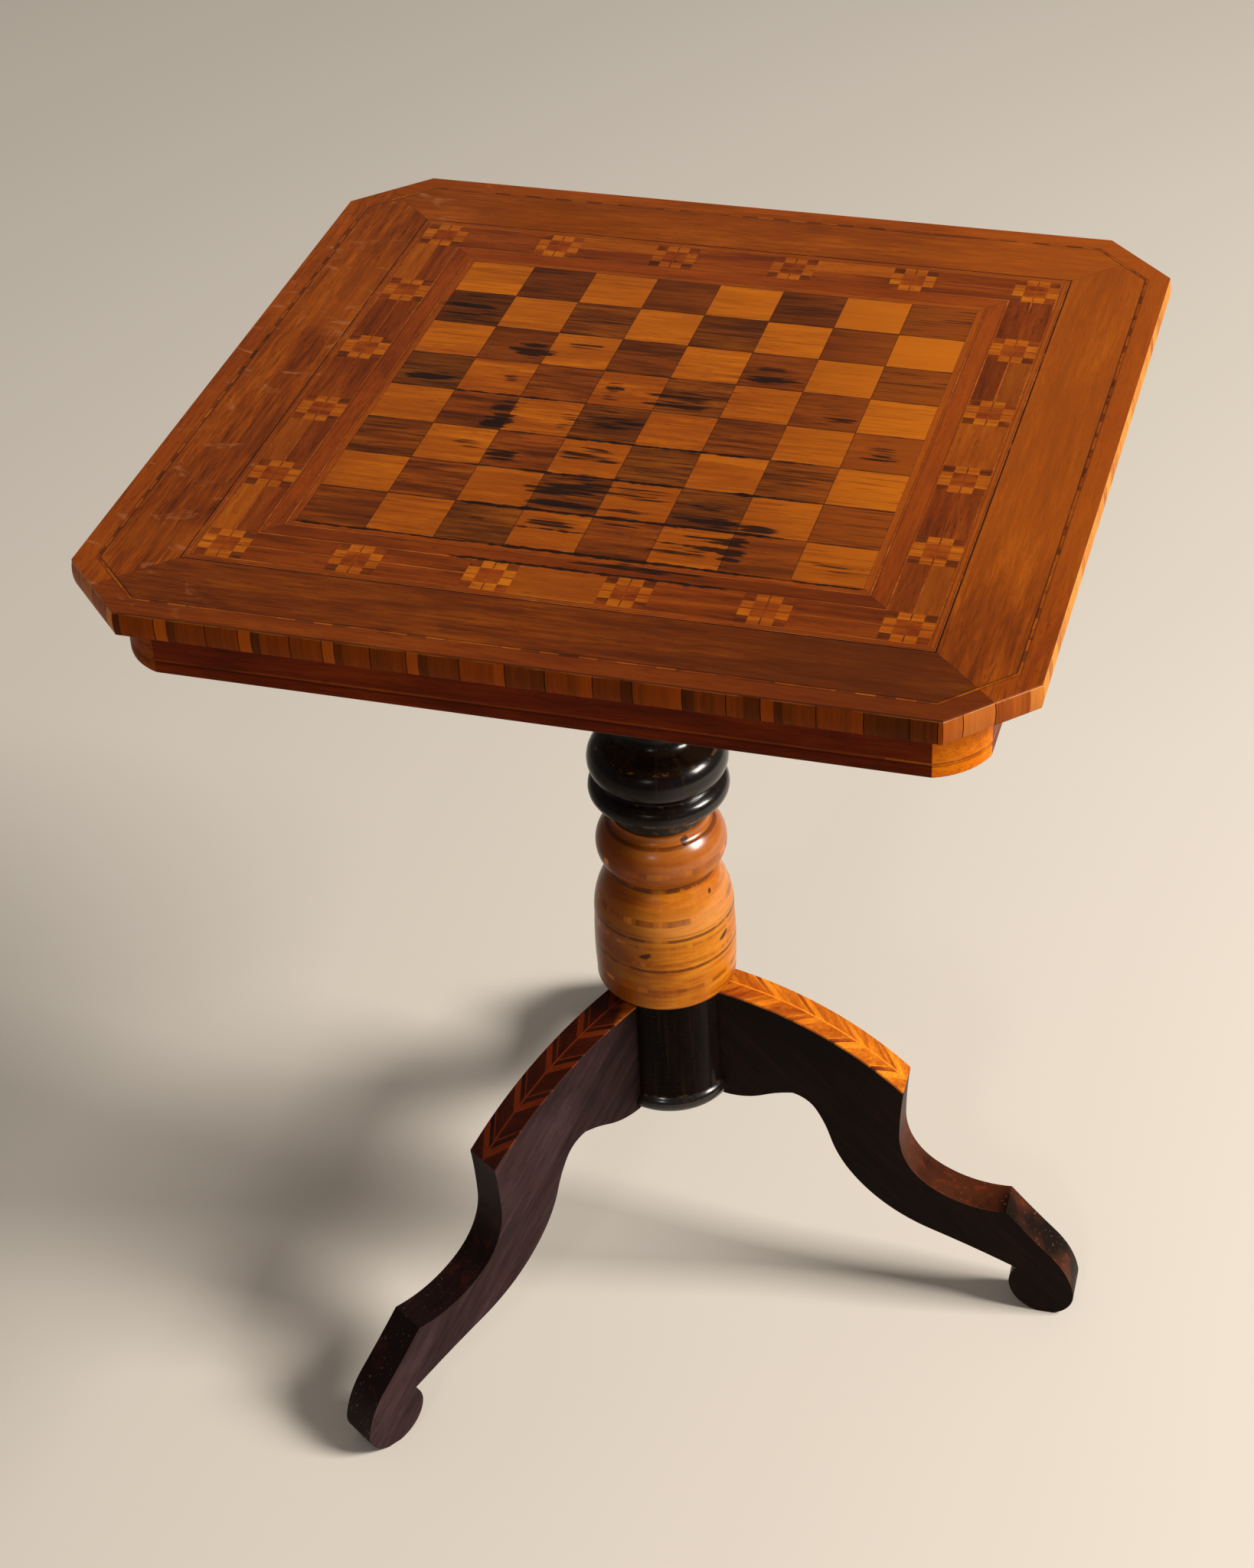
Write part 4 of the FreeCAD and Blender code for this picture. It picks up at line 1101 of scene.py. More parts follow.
@dataclass(frozen=True)
class AmberFinish:
    """The glossy amber turning with its rings and rows of small inlaid blocks."""

    name: str = "amber_turning"
    rings: Tuple[Ring, ...] = (
        Ring(381.0, 2.3, 0.85, 54),
        Ring(341.6, 1.9, 0.66, 88),
        Ring(285.6, 1.5, 0.60, 44),
        Ring(322.6, 1.2, 0.40, 80),
        Ring(308.6, 1.3, 0.34, 96),
        Ring(328.6, 1.0, 0.75),
        Ring(303.4, 1.0, 0.70),
        Ring(398.4, 0.7, 0.65),
        Ring(362.9, 2.0, 0.75),
        Ring(331.8, 0.4, 0.30),
        Ring(269.5, 0.5, 0.25),
    )
    light_shoulder: Row = (334.0 * MM, 12.0 * MM, 8.0 * MM)
    glossy_shoulder: Row = (344.0 * MM, 8.0 * MM, 10.0 * MM)
    glossy_bead: Pair = (376.0 * MM, 388.0 * MM)
    # Painted shade on the torus and on the side away from the light.
    torus_darkening_from: Pair = (356.0 * MM, 366.0 * MM)
    torus_shade_side: Pair = (0.0, 34.0 * MM)
    painted_shade_side: Pair = (-42.0 * MM, -6.0 * MM)
    gloss_start: Pair = (-30.0 * MM, 6.0 * MM)
    gloss_end: Pair = (30.0 * MM, 43.0 * MM)
    slant: float = 0.35
    block_stops: Stops = (
        (0.0, tone(84, 34, 7)),
        (0.40, tone(126, 56, 10)),
        (0.70, tone(158, 78, 14)),
        (0.95, tone(214, 124, 28)),
    )
    knots: Sequence[Row] = (
        (-90.0, 315.6, 5.0, 2.6),
        (-18.0, 317.0, 5.0, 2.6),
        (54.0, 315.0, 5.0, 2.4),
        (170.0, 316.5, 5.0, 2.4),
        (-46.0, 401.5, 3.6, 3.0),
        (-23.0, 354.0, 2.0, 1.6),
    )

    def build(self) -> Material:
        """Makes the material.

        Returns:
            The material.
        """
        graph = Graph(self.name)
        turn, _, z = round_place(graph)
        turned = round_grain(graph, 0.16)
        wide = graph.noise(60.0, 3.0, 0.6, where=turned)
        lines = graph.noise((260.0, 260.0, 300.0), 2.0, 0.4, where=turned)
        fine = graph.noise((900.0, 900.0, 1500.0), 1.0, where=turned)
        cross = graph.noise((420.0, 30.0, 1.0), 2.0, where=graph.join(turn, z, 0.0))
        mixed = wide * 0.45 + lines * 0.3 + fine * 0.13 + cross * 0.12
        timber = Wood.AMBER
        stops = ((0.36, timber.dark), (0.49, timber.middle), (0.62, timber.light))
        graph.colour = graph.ramp(mixed, stops)
        cloud = graph.noise((16.0, 16.0, 22.0), 3.0, 0.8)
        graph.lay(graph.rise(cloud, 0.46, 0.70) * 0.55, timber.dark)
        x, y, _ = graph.parts
        shoulder = graph.near(z, *self.light_shoulder)
        graph.lay(shoulder * 0.35, timber.light)
        away = x * LIT_FROM[0] + y * LIT_FROM[1]
        # The torus darker all round, and more so away from the light as painted shade.
        torus_darkening_and_shade = graph.fall(away, *self.torus_shade_side) * 0.5 + 0.15
        torus_darkening_and_shade = graph.rise(z, *self.torus_darkening_from) * torus_darkening_and_shade
        graph.lay(torus_darkening_and_shade, tone(136, 62, 7))
        # Painted shade on the side away from the light.
        graph.lay(graph.fall(away, *self.painted_shade_side) * 0.72, tone(82, 28, 5))
        ragged = graph.noise(90.0, 2.0)
        height = fine * 0.25
        for ring in self.rings:
            drawn = z + (ragged - 0.5) * 0.8 * MM
            band = graph.near(drawn, ring.level * MM, ring.half * MM, 0.4 * MM)
            if ring.blocks:
                wander = graph.noise((130.0, 130.0, 10.0), 1.0, where=turned)
                place = turn * ring.blocks + wander * 2.0
                index = graph.math("FLOOR", place)
                number = graph.lot(graph.join(index, ring.level, 1.0))
                share = place - index
                gap = graph.fall(0.5 - abs(share - 0.5), 0.02, 0.10)
                worn = graph.rise(graph.noise((90.0, 90.0, 20.0), 1.0, where=turned), 0.40, 0.50)
                blocks = graph.ramp(number, self.block_stops)
                tint = graph.mix(gap * 0.5, blocks, timber.dark)
                band = band * (worn * 0.7 + 0.3)
            else:
                band = band * graph.rise(ragged, 0.28, 0.48)
                tint = tone(70, 26, 6)
                height = height - band * ring.strength
            graph.lay(band * ring.strength, tint)
        for knot in self.knots:
            self.knot(graph, *knot)
        bead = graph.rise(z, *self.glossy_bead)
        upward = graph.either(bead, graph.near(z, *self.glossy_shoulder))
        gloss = upward * graph.rise(away, *self.gloss_start)
        gloss = gloss * graph.fall(away, *self.gloss_end)
        polish = Polish(0.27, 0.08, 0.11, 0.00008, 0.23)
        return shaded(graph, height, polish, None, gloss)

    def knot(
        self, graph: Graph, degrees: float, level: float, wide: float, tall: float
    ) -> None:
        """Lays one slanting dark knot over the colour.

        Args:
            graph: The material's graph.
            degrees: Where it lies round the column.
            level: Its height in millimetres.
            wide: Half its width in millimetres.
            tall: Half its height in millimetres.
        """
        turn, reach, z = round_place(graph)
        aside = (turn - degrees / 360) * (2 * math.pi) * reach
        up = z - level * MM - aside * self.slant
        square = (aside / (wide * MM)) * (aside / (wide * MM))
        away = square + (up / (tall * MM)) * (up / (tall * MM))
        rough = graph.noise(420.0, 2.0)
        mask = graph.fall(away + (rough - 0.5) * 1.6, 0.35, 1.0)
        graph.lay(mask * 0.85, tone(36, 15, 6))


@dataclass(frozen=True)
class BlackFinish:
    """Glossy ebonised turning, rubbed brown at its edges and joints."""

    name: str
    rubbed: Tuple[Pair, ...] = (
        (409.5, 3.6),
        (424.5, 1.2),
        (437.2, 0.9),
        (463.0, 0.8),
        (183.6, 1.0),
    )
    gloss: float = 0.5
    edge: float = 0.0
    coat_run: Pair = (-12.0 * MM, 20.0 * MM)
    polish: Polish = Polish(0.24, 0.12, 0.13, 0.00008, 0.15)

    def build(self) -> Material:
        """Makes the material.

        Returns:
            The material.
        """
        graph = Graph(self.name)
        turn, _, z = round_place(graph)
        grain = graph.join(z, turn * 0.2, 0.0)
        graph.colour, fibres = Wood.BLACK.figure(graph, grain)
        streak = graph.noise((60.0, 9.0, 1.0), 3.0, where=graph.join(turn, z, 0.0))
        graph.lay(graph.rise(streak, 0.54, 0.74) * 0.4, tone(44, 27, 14))
        patch = graph.noise((190.0, 190.0, 260.0), 3.0)
        for level, half in self.rubbed:
            rub = graph.near(z, level * MM, half * MM * 0.4, half * MM)
            rub = rub * graph.rise(patch, 0.50, 0.62)
            graph.lay(rub * 0.55, tone(98, 68, 36))
        scratch = graph.noise((14.0, 240.0, 500.0), 1.0, 2.0, where=round_grain(graph, 1.0))
        scratch = graph.near(scratch, 0.62, 0.002, 0.004)
        graph.lay(scratch * 0.35, tone(96, 70, 52))
        x, y, _ = graph.parts
        aside = (x - COLUMN.x) * LIT_FROM[0] + (y - COLUMN.y) * LIT_FROM[1]
        start, end = self.coat_run
        coat = graph.rise(aside, self.edge + start, self.edge + end)
        height = fibres * 0.3 - scratch * 0.4
        return shaded(graph, height, self.polish, None, coat * self.gloss)


@dataclass(frozen=True)
class LegPlan:
    """Measures of the legs."""

    degrees: Tuple[float, ...] = (1.8, 113.5, 236.3)
    names: Tuple[str, ...] = ("right", "back", "left")
    arris: float = 0.6 * MM


LEGS = LegPlan()


def leg_place(graph: Graph) -> Parts:
    """The reach along the leg, the distance from its middle plane and the height.

    Args:
        graph: The material's graph.

    Returns:
        The reach, the distance aside and the height.
    """
    x, y, z = graph.parts
    dx = x - COLUMN.x
    dy = y - COLUMN.y
    reach: Optional[Value] = None
    aside: Optional[Value] = None
    for degrees in LEGS.degrees:
        cosine = math.cos(math.radians(degrees))
        sine = math.sin(math.radians(degrees))
        along = dx * cosine + dy * sine
        across = dy * cosine - dx * sine
        if reach is None or aside is None:
            reach, aside = along, across
        else:
            best = along > reach
            aside = graph.choose(best, aside, across)
            reach = graph.choose(best, reach, along)
    return reach, aside, z


@dataclass(frozen=True)
class LegFinish:
    """Ebonised sawn leg: satin sides with painted sheen and shade, narrow faces with painted shade
    and light, worn arrises.
    """

    name: str = "ebonised_leg"
    slope: float = math.radians(-47.0)
    painted_shade_x: Pair = (-60.0 * MM, 0.0)
    specks_z: Pair = (60.0 * MM, 140.0 * MM)
    rubbed_z: Pair = (130.0 * MM, 170.0 * MM)

    def build(self) -> Material:
        """Makes the material.

        Returns:
            The material.
        """
        graph = Graph(self.name)
        reach, aside, z = leg_place(graph)
        cosine = math.cos(self.slope)
        sine = math.sin(self.slope)
        grain = graph.join(reach * cosine + z * sine, z * cosine - reach * sine, aside)
        graph.colour, fibres = Wood.EBONISED_WITH_SHEEN.figure(graph, grain)
        # The right leg gets the copy with painted shade.
        darker, _ = Wood.EBONISED_IN_SHADE.figure(graph, grain)
        x, _, _ = graph.parts
        right = graph.rise(x, *self.painted_shade_x)
        graph.lay(right, darker)
        cloud = graph.noise(14.0, 3.0)
        mottled = graph.rise(cloud, 0.52, 0.74) * 0.35
        graph.lay(mottled * (1 - right * 0.5), tone(58, 22, 15))
        graph.lay(graph.fall(cloud, 0.28, 0.46) * 0.5, tone(16, 9, 8))
        arris = graph.mark("arris")
        chips = graph.noise(120.0, 3.0)
        runs = graph.noise(22.0, 2.0)
        narrow = graph.rise(graph.mark("narrow"), 0.4, 0.6)
        brown = graph.rise(runs, 0.40, 0.62)
        brown = brown * (right * 0.75 + 0.03)
        # Narrow faces: painted shade in near-black, and painted light in brown on the right leg.
        graph.lay(narrow * (0.8 - right * 0.2), tone(14, 5, 3))
        graph.lay(narrow * brown, tone(78, 37, 18))
        # Red chips, real wear that is stronger on the right leg as painted light.
        red = graph.rise(chips, 0.52, 0.68) * graph.rise(runs, 0.46, 0.60)
        red = red * (right * 0.5 + 0.12)
        graph.lay(narrow * red, tone(112, 40, 20))
        specks = graph.noise(420.0, 2.0)
        specks = graph.rise(specks, 0.66, 0.72) * graph.fall(z, *self.specks_z)
        graph.lay(narrow * specks * 0.5, tone(142, 92, 72))
        rub = arris * graph.rise(runs + chips * 0.5, 0.66, 0.80)
        rub = rub * (graph.fall(z, *self.rubbed_z) * 0.85 + 0.15)
        graph.lay(rub * 0.85, tone(158, 92, 66))
        return shaded(graph, fibres * 0.8, Polish(0.42, 0.14, 0.05, 0.00014))


@dataclass(frozen=True)
class KneeFinish:
    """Marquetry on the knees, with the grain of each slip along its arm."""

    name: str
    timber: Timber
    other: Timber
    painted_shadow: Colour
    painted_shadow_x: Pair = (-30.0 * MM, -20.0 * MM)

    def build(self) -> Material:
        """Makes the material.

        Returns:
            The material.
        """
        graph = Graph(self.name)
        reach, aside, z = leg_place(graph)
        arm = (reach + abs(aside)) * DIAGONAL
        across = (reach - abs(aside)) * DIAGONAL
        grain = graph.join(across, arm, z + (aside > 0.0) * 0.3)
        graph.colour, fibres = self.timber.figure(graph, grain)
        varied, _ = self.other.figure(graph, grain)
        drift = graph.noise((52.0, 52.0, 10.0), 1.0, where=graph.join(arm, aside * 0.4, z))
        graph.lay(graph.rise(drift, 0.42, 0.60), varied)
        streak = graph.noise((20.0, 500.0, 500.0), 1.0, where=grain)
        graph.lay(graph.rise(streak, 0.6, 0.72) * 0.4, self.timber.pore)
        x, _, _ = graph.parts
        # Painted shadow of the column over the left knee.
        graph.lay(graph.fall(x, *self.painted_shadow_x), self.painted_shadow, "MULTIPLY")
        return shaded(graph, fibres * 0.5, Polish(0.30, 0.14, 0.15, 0.00012))


class Workpiece:
    """One mesh that is shaped with edit-mode operators."""

    def __init__(self, item: bpy.types.Object) -> None:
        """Takes over an object.

        Args:
            item: The object that is shaped.
        """
        self.item = item

    @classmethod
    def block(cls, name: str, low: Point, high: Point) -> "Workpiece":
        """Starts from a box between two corners.

        Args:
            name: Its name.
            low: Its lowest corner.
            high: Its highest corner.

        Returns:
            The box.
        """
        cls.rest()
        middle = [(a + b) / 2 for a, b in zip(low, high)]
        size = [b - a for a, b in zip(low, high)]
        bpy.ops.mesh.primitive_cube_add(size=1.0, location=middle, scale=size)
        bpy.ops.object.transform_apply()
        bpy.context.active_object.name = name
        return cls(bpy.context.active_object)

    @classmethod
    def turning(cls, name: str, outline: Sequence[Pair]) -> "Workpiece":
        """Turns a solid about the column's axis from radii and heights.

        Args:
            name: Its name.
            outline: The radii and heights.

        Returns:
            The turned solid.
        """
        cls.rest()
        radius, height = outline[0]
        bpy.ops.mesh.primitive_circle_add(
            vertices=TURNED_SIDES,
            radius=radius,
            fill_type="NGON",
            location=(COLUMN.x, COLUMN.y, height),
        )
        bpy.ops.object.transform_apply()
        item = bpy.context.active_object
        item.name = name
        bpy.ops.object.mode_set(mode="EDIT")
        for next_radius, next_height in outline[1:]:
            bpy.ops.mesh.extrude_region_move(
                TRANSFORM_OT_translate={"value": (0.0, 0.0, next_height - height)}
            )
            share = next_radius / radius
            bpy.ops.transform.resize(
                value=(share, share, 1.0),
                center_override=(COLUMN.x, COLUMN.y, next_height),
            )
            radius, height = next_radius, next_height
        bpy.ops.mesh.select_all(action="SELECT")
        bpy.ops.mesh.normals_make_consistent(inside=False)
        bpy.ops.object.mode_set(mode="OBJECT")
        return cls(item)

    @classmethod
    def copy_of(cls, name: str, node: str) -> "Workpiece":
        """Starts from a merged copy of a node of the frame.

        Args:
            name: The copy's name.
            node: The node's name.

        Returns:
            The copy.
        """
        cls.rest()
        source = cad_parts[node]
        item = bpy.data.objects.new(name, source.data.copy())
        bpy.context.scene.collection.objects.link(item)
        item.data.materials.clear()
        item.select_set(True)
        bpy.context.view_layer.objects.active = item
        bpy.ops.object.mode_set(mode="EDIT")
        bpy.ops.mesh.select_all(action="SELECT")
        bpy.ops.mesh.remove_doubles(threshold=MERGED)
        bpy.ops.mesh.dissolve_limited(angle_limit=FLAT)
        bpy.ops.object.mode_set(mode="OBJECT")
        return cls(item)

    @staticmethod
    def rest() -> None:
        """Leaves edit mode and deselects everything."""
        active = bpy.context.active_object
        if active is not None and active.mode != "OBJECT":
            bpy.ops.object.mode_set(mode="OBJECT")
        bpy.ops.object.select_all(action="DESELECT")

    def focus(self) -> None:
        """Makes this the one selected object."""
        self.rest()
        self.item.select_set(True)
        bpy.context.view_layer.objects.active = self.item

    def pick(self, test: Callable[[Vector], bool], edges: bool = False) -> None:
        """Opens edit mode with the points, or the edges, whose places pass a test selected.

        Args:
            test: Says whether a point or an edge's middle is wanted.
            edges: Whether edges are tested instead of points.
        """
        self.focus()
        mesh = self.item.data
        for group in (mesh.vertices, mesh.edges, mesh.polygons):
            for element in group:
                element.select = False
        if edges:
            for edge in mesh.edges:
                ends = [mesh.vertices[index].co for index in edge.vertices]
                edge.select = test((ends[0] + ends[1]) / 2)
        else:
            for vertex in mesh.vertices:
                vertex.select = test(vertex.co)
        bpy.ops.object.mode_set(mode="EDIT")
        bpy.ops.mesh.select_mode(type="EDGE" if edges else "VERT")

    def cut(self, point: Point, normal: Point, remove: bool = False) -> None:
        """Cuts the mesh by a plane.

        Args:
            point: A point of the plane.
            normal: The plane's direction.
            remove: Whether what lies beyond it is cut off and the end is closed.
        """
        self.focus()
        bpy.ops.object.mode_set(mode="EDIT")
        bpy.ops.mesh.select_all(action="SELECT")
        cut = {"plane_co": point, "plane_no": normal, "threshold": CUT_WITHIN}
        bpy.ops.mesh.bisect(use_fill=remove, clear_outer=remove, **cut)
        bpy.ops.object.mode_set(mode="OBJECT")

    def mark(self, name: str, rule: Callable[[Vector, Vector], float]) -> None:
        """Writes a number on every face.

        Args:
            name: The number's name.
            rule: Gives it from the face's direction and middle.
        """
        mesh = self.item.data
        marks = mesh.attributes.new(name, "FLOAT", "FACE")
        for polygon, entry in zip(mesh.polygons, marks.data):
            entry.value = rule(polygon.normal, polygon.center)

    def ease(self, width: float, segments: int = 2, degrees: float = 30.0) -> None:
        """Rounds every sharp arris a little.

        Args:
            width: How far the rounding reaches from the arris.
            segments: How many faces it has.
            degrees: The angle from which an arris is sharp.
        """
        self.focus()
        bevel = self.item.modifiers.new("eased", "BEVEL")
        bevel.width = width
        bevel.segments = segments
        bevel.limit_method = "ANGLE"
        bevel.angle_limit = math.radians(degrees)
        bpy.ops.object.modifier_apply(modifier=bevel.name)

    def smooth(self, degrees: float) -> None:
        """Shades smoothly but keeps arrises and flat faces crisp.

        Args:
            degrees: The angle from which an arris stays crisp.
        """
        self.focus()
        bpy.ops.object.shade_smooth_by_angle(angle=math.radians(degrees))
        weighted = self.item.modifiers.new("weighted", "WEIGHTED_NORMAL")
        weighted.keep_sharp = True
        bpy.ops.object.modifier_apply(modifier=weighted.name)

    def finish(
        self,
        material: Material,
        body: str,
        slot: str,
        *nodes: str,
        degrees: float = 35.0,
    ) -> None:
        """Smooths the piece, gives it its material and its body, and hides the nodes that it
        replaces.

        Args:
            material: The finish.
            body: The body that it rides on.
            slot: The record's material slot, which is not used.
            nodes: The nodes that it replaces.
            degrees: The angle from which its edges stay sharp.
        """
        self.smooth(degrees)
        self.rest()
        self.item.data.materials.clear()
        self.item.data.materials.append(material)
        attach(self.item, body)
        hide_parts(*nodes)
        LOG.info("%s: %d faces on %s", self.item.name, len(self.item.data.polygons), body)


def paint(material: Material, *nodes: str) -> None:
    """Gives nodes of the frame a material.

    Args:
        material: The finish.
        nodes: The nodes' names.
    """
    for name in nodes:
        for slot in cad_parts[name].material_slots:
            slot.material = material
        LOG.info("%s: %s", name, material.name)


def dress(finish: Any, *nodes: str) -> None:
    """Builds a finish for nodes of the frame."""
    paint(finish.build(), *nodes)


@dataclass
class Outline:
    """A turned outline from rows of radius and height shares.

    A row of two shares is a straight run to that place, and a row of four is an arc through
    its first pair to its second.
    """

    radius: float
    bottom: float
    length: float
    rows: Sequence[Row]
    steps: int = 9

    def place(self, shares: Sequence[float]) -> Pair:
        """A radius and a height from their shares."""
        return self.radius * shares[0], self.bottom + self.length * shares[1]

    def points(self) -> List[Pair]:
        """The outline as radii and heights, with its arcs divided.

        Returns:
            The radii and heights from the bottom up.
        """
        found = [self.place(self.rows[0])]
        for row in self.rows[1:]:
            if len(row) == 2:
                found.append(self.place(row))
            else:
                found += self.arc(found[-1], self.place(row[:2]), self.place(row[2:]))
        return found

    def arc(self, start: Pair, through: Pair, end: Pair) -> List[Pair]:
        """Points of the arc through three places, without its start.

        Args:
            start: Where the arc starts.
            through: A place on it.
            end: Where it ends.

        Returns:
            The points after the start, with the end.
        """
        centre = complex(*circle_centre(start, through, end))
        first = complex(*start) - centre
        part = phase((complex(*through) - centre) / first)
        sweep = phase((complex(*end) - centre) / first)
        if part * sweep < 0 or abs(part) > abs(sweep):
            sweep -= math.copysign(2 * math.pi, sweep)
        found = []
        for step in range(1, self.steps + 1):
            angle = sweep * step / self.steps
            spot = centre + first * complex(math.cos(angle), math.sin(angle))
            found.append((spot.real, spot.imag))
        return found


def circle_centre(first: Pair, second: Pair, third: Pair) -> Pair:
    """The centre of the circle through three places.

    Args:
        first: One place.
        second: Another one.
        third: A third one.

    Returns:
        The centre.
    """
    a, b, c = complex(*first), complex(*second), complex(*third)
    ratio = (c - a) / (b - a)
    centre = (b - a) * (ratio - abs(ratio) ** 2) / (2j * ratio.imag) + a
    return centre.real, centre.imag


@dataclass
class Column:
    """The turned column: black upper part, amber middle, black stem and base cap."""

    upper_rows: Sequence[Row] = (
        (0.66, 0.0), (0.68, 0.003), (0.68, 0.028), (0.712, 0.045, 0.807, 0.053),
        (1.0, 0.086, 0.881, 0.122), (0.86, 0.126), (0.86, 0.13), (0.881, 0.132),
        (0.996, 0.179, 0.786, 0.242), (0.637, 0.25), (0.531, 0.268, 0.499, 0.301),
        (0.616, 0.528, 0.488, 0.764), (0.488, 0.797), (0.616, 0.805), (0.701, 0.829, 0.616, 0.854),
        (0.531, 0.862), (0.573, 0.902, 0.743, 0.935), (0.764, 0.943), (0.764, 1.0),
    )
    vase_rows: Sequence[Row] = (
        (0.888, 0.0), (0.91, 0.001), (0.968, 0.013, 0.988, 0.045), (1.004, 0.195, 0.988, 0.392),
        (0.914, 0.563, 0.748, 0.672), (0.732, 0.684), (0.732, 0.698), (0.915, 0.813, 0.768, 0.942),
        (0.753, 0.947), (0.697, 0.96, 0.68, 0.997), (0.66, 1.0),
    )
    cap_rows: Sequence[Row] = (
        (0.9, 0.0), (0.93, 0.015), (1.0, 0.45, 0.94, 0.92), (0.924, 1.0),
    )
    stem_rows: Sequence[Row] = ((1.0, 0.0), (1.0, 0.33), (1.0, 0.66), (1.0, 1.0))
    tenon_short: float = 0.4 * MM

    def make(self) -> None:
        """Turns every part, the upper one with its tenon."""
        plan = COLUMN
        upper_length = plan.block_bottom - plan.vase_top
        stem_length = plan.stem_top - plan.stem_bottom
        cap_bottom = plan.stem_bottom - plan.cap_thickness
        upper = Outline(plan.upper_radius, plan.vase_top, upper_length, self.upper_rows)
        vase = Outline(plan.vase_radius, plan.stem_top, plan.vase_length, self.vase_rows, 12)
        stem = Outline(plan.stem_radius, plan.stem_bottom, stem_length, self.stem_rows)
        cap = Outline(plan.cap_radius, cap_bottom, plan.cap_thickness, self.cap_rows, 12)
        tenon_top = plan.block_top - self.tenon_short
        tenon = [(plan.tenon_radius, plan.block_bottom), (plan.tenon_radius, tenon_top)]
        satin = Polish(0.30, 0.10, 0.03, 0.00008, 0.10)
        black_stem = BlackFinish("black_stem", gloss=0.6, edge=26.0 * MM, polish=satin)
        black_cap = BlackFinish("black_cap", gloss=0.9, edge=-20.0 * MM)
        for name, node, points, finish, degrees in (
            ("upper", "column_upper", upper.points() + tenon, BlackFinish("black_turning"), 32.0),
            ("vase", "column_vase", vase.points(), AmberFinish(), 32.0),
            ("stem", "column_stem", stem.points(), black_stem, 35.0),
            ("cap", "base_cap", cap.points(), black_cap, 35.0),
        ):
            slot = "amber_wood" if name == "vase" else "black_wood"
            piece = Workpiece.turning("turned_" + name, points)
            piece.finish(finish.build(), "stand", slot, node, degrees=degrees)


@dataclass
class Legs:
    """Three sawn legs with eased arrises, and the marquetry on their knees."""

    plan: LegPlan = LEGS

    def make(self) -> None:
        """Makes the legs and dresses the knees."""
        finish = LegFinish().build()
        for name, degrees in zip(self.plan.names, self.plan.degrees):
            piece = Workpiece.copy_of("eased_leg_" + name, "leg_" + name)
            piece.ease(self.plan.arris, 3)
            self.mark_faces(piece, degrees)
            piece.finish(finish, "stand", "black_wood", "leg_" + name)
        # The fourth column darkens the left knee as a painted shadow.
        for name, timber, other, painted_shadow, node in (
            ("knee_panels", Wood.KNEE, Wood.KNEE_RED, (0.085, 0.040, 0.10), "knee_panels"),
            ("knee_pale", Wood.KNEE_PALE, Wood.KNEE, (0.21, 0.09, 0.17), "knee_slips_light"),
            ("knee_dark", Wood.KNEE_DARK, Wood.KNEE_RED, (0.07, 0.05, 0.15), "knee_slips_dark"),
            ("knee_centre", Wood.KNEE_PALE, Wood.KNEE_PALE, (0.20, 0.10, 0.15), "knee_lines"),
        ):
            dress(KneeFinish(name, timber, other, painted_shadow), node)

    def mark_faces(self, piece: Workpiece, degrees: float) -> None:
        """Marks the eased arrises, which are worn to the wood, and the narrow faces.

        Args:
            piece: The leg.
            degrees: The way the leg points.
        """
        aside = Vector((-math.sin(math.radians(degrees)), math.cos(math.radians(degrees)), 0))

        def arris(normal: Vector, middle: Vector) -> float:
            """One on a face that leans between side and narrow face."""
            return float(0.15 < abs(normal.dot(aside)) < 0.97)

        def narrow(normal: Vector, middle: Vector) -> float:
            """One on a narrow face."""
            return float(abs(normal.dot(aside)) <= 0.15)

        piece.mark("arris", arris)
        piece.mark("narrow", narrow)


@dataclass(frozen=True)
class Strip:
    """One strip of wood in the edge moulding.

    Its end is in millimetres from the bar's middle, its shade runs from 0 for black-brown to
    1 for orange, and it may end in an open joint.
    """

    end: float
    shade: float
    joint: bool = True


FRONT_STRIPS = [
    Strip(*row)
    for row in (
        (-231.0, 0.15, False), (-210.5, 0.46), (-203.0, 0.84, False), (-197.8, 0.18, False),
        (-179.8, 0.4), (-160.0, 0.38), (-152.6, 0.86, False), (-147.1, 0.2, False), (-129.5, 0.44),
        (-110.5, 0.37), (-103.6, 0.8, False), (-98.1, 0.2, False), (-82.4, 0.42), (-61.4, 0.38),
        (-54.6, 0.8, False), (-49.0, 0.18, False), (-31.0, 0.36), (-11.0, 0.5, False),
        (-5.0, 0.72), (17.6, 0.3), (38.0, 0.42, False), (44.6, 0.64), (60.0, 0.34, False),
        (66.7, 0.1), (87.4, 0.42, False), (94.3, 0.62), (101.0, 0.12, False), (118.4, 0.34),
        (128.0, 0.38, False), (137.2, 0.18), (144.5, 0.6, False), (149.5, 0.12, False),
        (167.5, 0.34), (186.6, 0.42, False), (193.0, 0.56), (200.0, 0.24, False), (217.6, 0.14),
        (232.6, 0.28), (235.5, 0.8),
    )
]
CANT_STRIPS = [Strip(-19.1, 0.5), Strip(1.3, 0.68), Strip(23.5, 0.4, False), Strip(31.9, 0.92)]


def side_strips(run: float, pitch: float) -> List[Strip]:
    """Equal blocks for the moulding's left and right sides, in varied shades.

    Args:
        run: The side's length in millimetres.
        pitch: About how long a block is.

    Returns:
        The strips from one end to the other.
    """
    shades = (0.50, 0.66, 0.38, 0.58, 0.72, 0.44, 0.62)
    narrow_share, darker = 0.35, 0.14
    count = max(2, round(run / pitch))
    strips = []
    for index in range(count):
        end = (index + 1) * run / count - run / 2
        middle = end - run / count * narrow_share
        strips.append(Strip(middle, shades[index % len(shades)], False))
        strips.append(Strip(end, shades[(index * 3 + 2) % len(shades)] - darker))
    return strips


